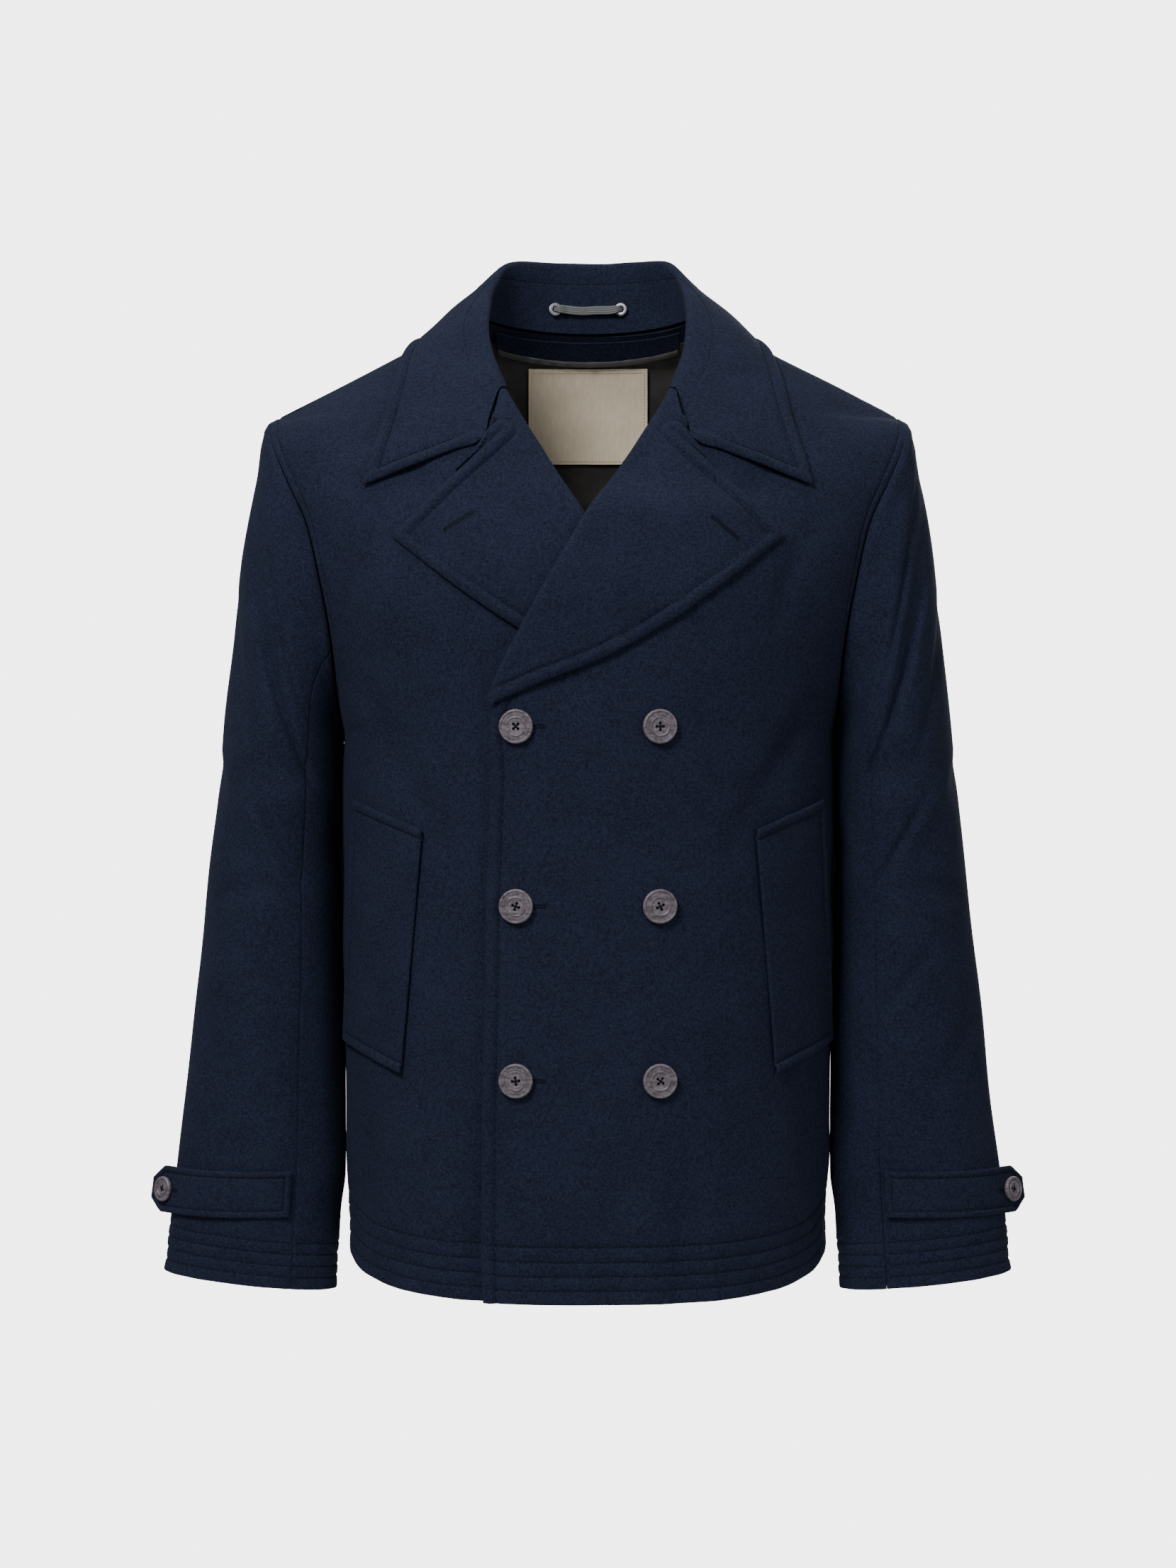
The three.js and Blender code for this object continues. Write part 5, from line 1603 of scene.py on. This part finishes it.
def make_button(node, size, place, out, turn, threads):
    mesh = TEMPLATES[size["radius"]].copy()
    matrix = placing(place, out, turn)
    mesh.transform(matrix)
    piece = linked(node + "_horn", mesh, HORN)
    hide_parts(node)
    axes = np.array(matrix.to_3x3()) / MM
    far = size["spread"]
    height = size["thick"] - 1.2 + 0.25
    for way, lift_by in ((0.25, 0), (0.75, 0.32)):
        tip = np.array([math.cos(way * math.pi), math.sin(way * math.pi), 0]) * far
        beside_it = np.array([-tip[1], tip[0], 0]) / far * 0.3
        for offset in (-1, 1):
            start = axes @ (tip + beside_it * offset + (0, 0, height + lift_by)) + place
            end = axes @ (-tip + beside_it * offset + (0, 0, height + lift_by)) + place
            threads.lay(start, end, axes @ (0, 0, 1), 0.3)


TEMPLATES = {size["radius"]: button_template(size) for size in (BUTTON, CUFF_BUTTON)}
button_threads = Threads()
for row, z in enumerate(BUTTON_ROWS):
    for name, x in (("left", BUTTON_X), ("right", -BUTTON_X)):
        spot = (np.float64(x), np.float64(z))
        place = on_body(*spot, -1, lift(*spot) + BUTTON_SHANK)
        turn = 0.45 * row + 0.8 * (x > 0)
        make_button(f"button_{name}_{row + 1}", BUTTON, place, body_out(*spot, -1), turn, button_threads)

for side in (1, -1):
    z = np.float64((TAB_TOP + TAB_BOTTOM) / 2)
    far = TAB_FREE - TAB_BUTTON_IN
    leave = np.float64(TAB_LEAVE)
    place = tab_point(z, leave, far)
    along = tab_point(z, leave, far + 1) - place
    up = tab_point(z + 1, leave, far) - tab_point(z - 1, leave, far)
    out = unit(np.cross(up, -along))
    flip = (side, 1, 1)
    name = f"cuff_button_{'left' if side > 0 else 'right'}"
    make_button(name, CUFF_BUTTON, (place + out * BUTTON_SHANK) * flip, out * flip, 0.4, button_threads)
button_threads.finish("button_thread")


# Hanger loop and its eyelets

stand_rows = smooth_line(np.array(collar_half()), 120)[:, (0, STAND_SAMPLES - 1)]


def stand_point(x, z):
    """Points of the stand's inner face, behind the neck."""
    share = (z - stand_rows[:, 0, 2]) / (stand_rows[:, 1, 2] - stand_rows[:, 0, 2])
    line = mix(stand_rows[:, 0], stand_rows[:, 1], share[:, None])
    line = line[line[:, 1] > 0]
    aside, behind = (np.interp(abs(x), line[:, 0], line[:, k]) for k in (0, 1))
    return np.array([math.copysign(aside, x), behind, z])


def stand_out(x, z):
    across = stand_point(x + 4, z) - stand_point(x - 4, z)
    up = stand_point(x, z + 4) - stand_point(x, z - 4)
    return unit(np.cross(across, up))


def make_loop():
    """A ribbed tape that comes out of one eyelet, bows a little and goes into the other."""
    points = np.zeros((9, 101, 3))
    table = {
        "far": (0, 17, 20.5, 23.6, 25.4, 27.2),
        "off": (3.3, 3.1, 4.2, 4.5, 3.4, 1.5),
        "half": (3.4, 3.4, 3.3, 2.9, 2.0, 1.7),
    }
    for j, x in enumerate(np.linspace(-27.2, 27.2, 101)):
        off = read(table, "far", "off", abs(x))
        half = read(table, "far", "half", abs(x))
        sag = -0.8 * hump(x / 26) + 0.25 * math.sin(x * 0.24)
        for i, v in enumerate(np.linspace(-1, 1, 9)):
            z = EYELET["z"] + sag + half * v
            points[i, j] = stand_point(x, z) + stand_out(x, EYELET["z"]) * off
    panel = Panel(points)
    piece = shell("hanger_loop_tape", panel, 0.8, TAPE, soft=("low", "high"), round_off=0.5)
    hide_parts("hanger_loop")


make_loop()
for side in (1, -1):
    name = f"eyelet_{'left' if side > 0 else 'right'}"
    middle = (EYELET["radius"] + EYELET["hole"]) / 2
    wide = (EYELET["radius"] - EYELET["hole"]) / 2
    ring = [
        (middle + wide * math.cos(turn), EYELET["thick"] * (0.5 + 0.5 * math.sin(turn)))
        for turn in np.linspace(0, 2 * math.pi, 17)[:-1]
    ]
    mesh = meshed(name, turned(ring, 36, closed=True))
    x = side * EYELET["x"]
    out = stand_out(x, EYELET["z"])
    mesh.transform(placing(stand_point(x, EYELET["z"]) + out * (2 * LAY + LOOP["wall"]), out))
    mesh.shade_smooth()
    piece = linked(name + "_metal", mesh, STEEL)
    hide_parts(name)


# Studio

FLOOR_Z = -1.15
FLOOR_HALF = 0.68


def paint_paper(place, chart):
    return {"Base Color": (0.8, 0.8, 0.8, 1), "Roughness": 0.95}


def make_floor():
    body = bmesh.new()
    bmesh.ops.create_circle(
        body, cap_ends=True, segments=96, radius=FLOOR_HALF, matrix=Matrix.Translation((0, 0, FLOOR_Z)),
    )
    mesh = meshed("floor", body)
    floor = bpy.data.objects.new("floor", mesh)
    bpy.context.scene.collection.objects.link(floor)
    mesh.materials.append(finish("paper", paint_paper))


def make_light(name, place, target, size, power):
    data = bpy.data.lights.new(name, "AREA")
    data.shape = "RECTANGLE"
    data.size, data.size_y = size
    data.energy = power
    light = bpy.data.objects.new(name, data)
    light.location = place
    light.rotation_euler = (Vector(target) - Vector(place)).to_track_quat("-Z", "Y").to_euler()
    bpy.context.scene.collection.objects.link(light)


make_floor()
make_light("key", (-1.2, -2.1, 1.6), (0, 0, -0.35), (1.0, 1.0), 92)
make_light("fill", (1.9, -2.2, 0.4), (0, 0, -0.4), (1.2, 1.6), 18)
make_light("top", (0, 0.3, 2.3), (0, 0.1, -0.4), (2.0, 1.2), 30)
make_light("back", (0.9, 2.6, 0.7), (0, 0, -0.4), (1.4, 1.4), 34)

# The background is brighter to the camera than the light that it gives
world = bpy.data.worlds.new("studio")
world.use_nodes = True
sky = world.node_tree
sky.nodes.clear()
seen = sky.nodes.new("ShaderNodeBackground")
seen.inputs["Strength"].default_value = 4.5
felt = sky.nodes.new("ShaderNodeBackground")
felt.inputs["Strength"].default_value = 0.34
for part in (seen, felt):
    part.inputs["Color"].default_value = (1, 1, 1, 1)
ray = sky.nodes.new("ShaderNodeLightPath")
choice = sky.nodes.new("ShaderNodeMixShader")
sky_output = sky.nodes.new("ShaderNodeOutputWorld")
sky.links.new(ray.outputs["Is Camera Ray"], choice.inputs["Fac"])
sky.links.new(felt.outputs["Background"], choice.inputs[1])
sky.links.new(seen.outputs["Background"], choice.inputs[2])
sky.links.new(choice.outputs["Shader"], sky_output.inputs["Surface"])
bpy.context.scene.world = world

camera_data = bpy.data.cameras.new("camera")
CAMERA_FAR = VIEW_FAR * MM
FRAME_HIGH = 2212 * 0.55 * MM
camera_data.sensor_fit = "VERTICAL"
camera_data.sensor_height = 24
camera_data.lens = 24 * CAMERA_FAR / FRAME_HIGH
camera = bpy.data.objects.new("camera", camera_data)
camera.location = (0, -CAMERA_FAR, -0.358)
camera.rotation_euler = (math.pi / 2, 0, 0)
bpy.context.scene.collection.objects.link(camera)
bpy.context.scene.camera = camera

bpy.context.view_layer.update()
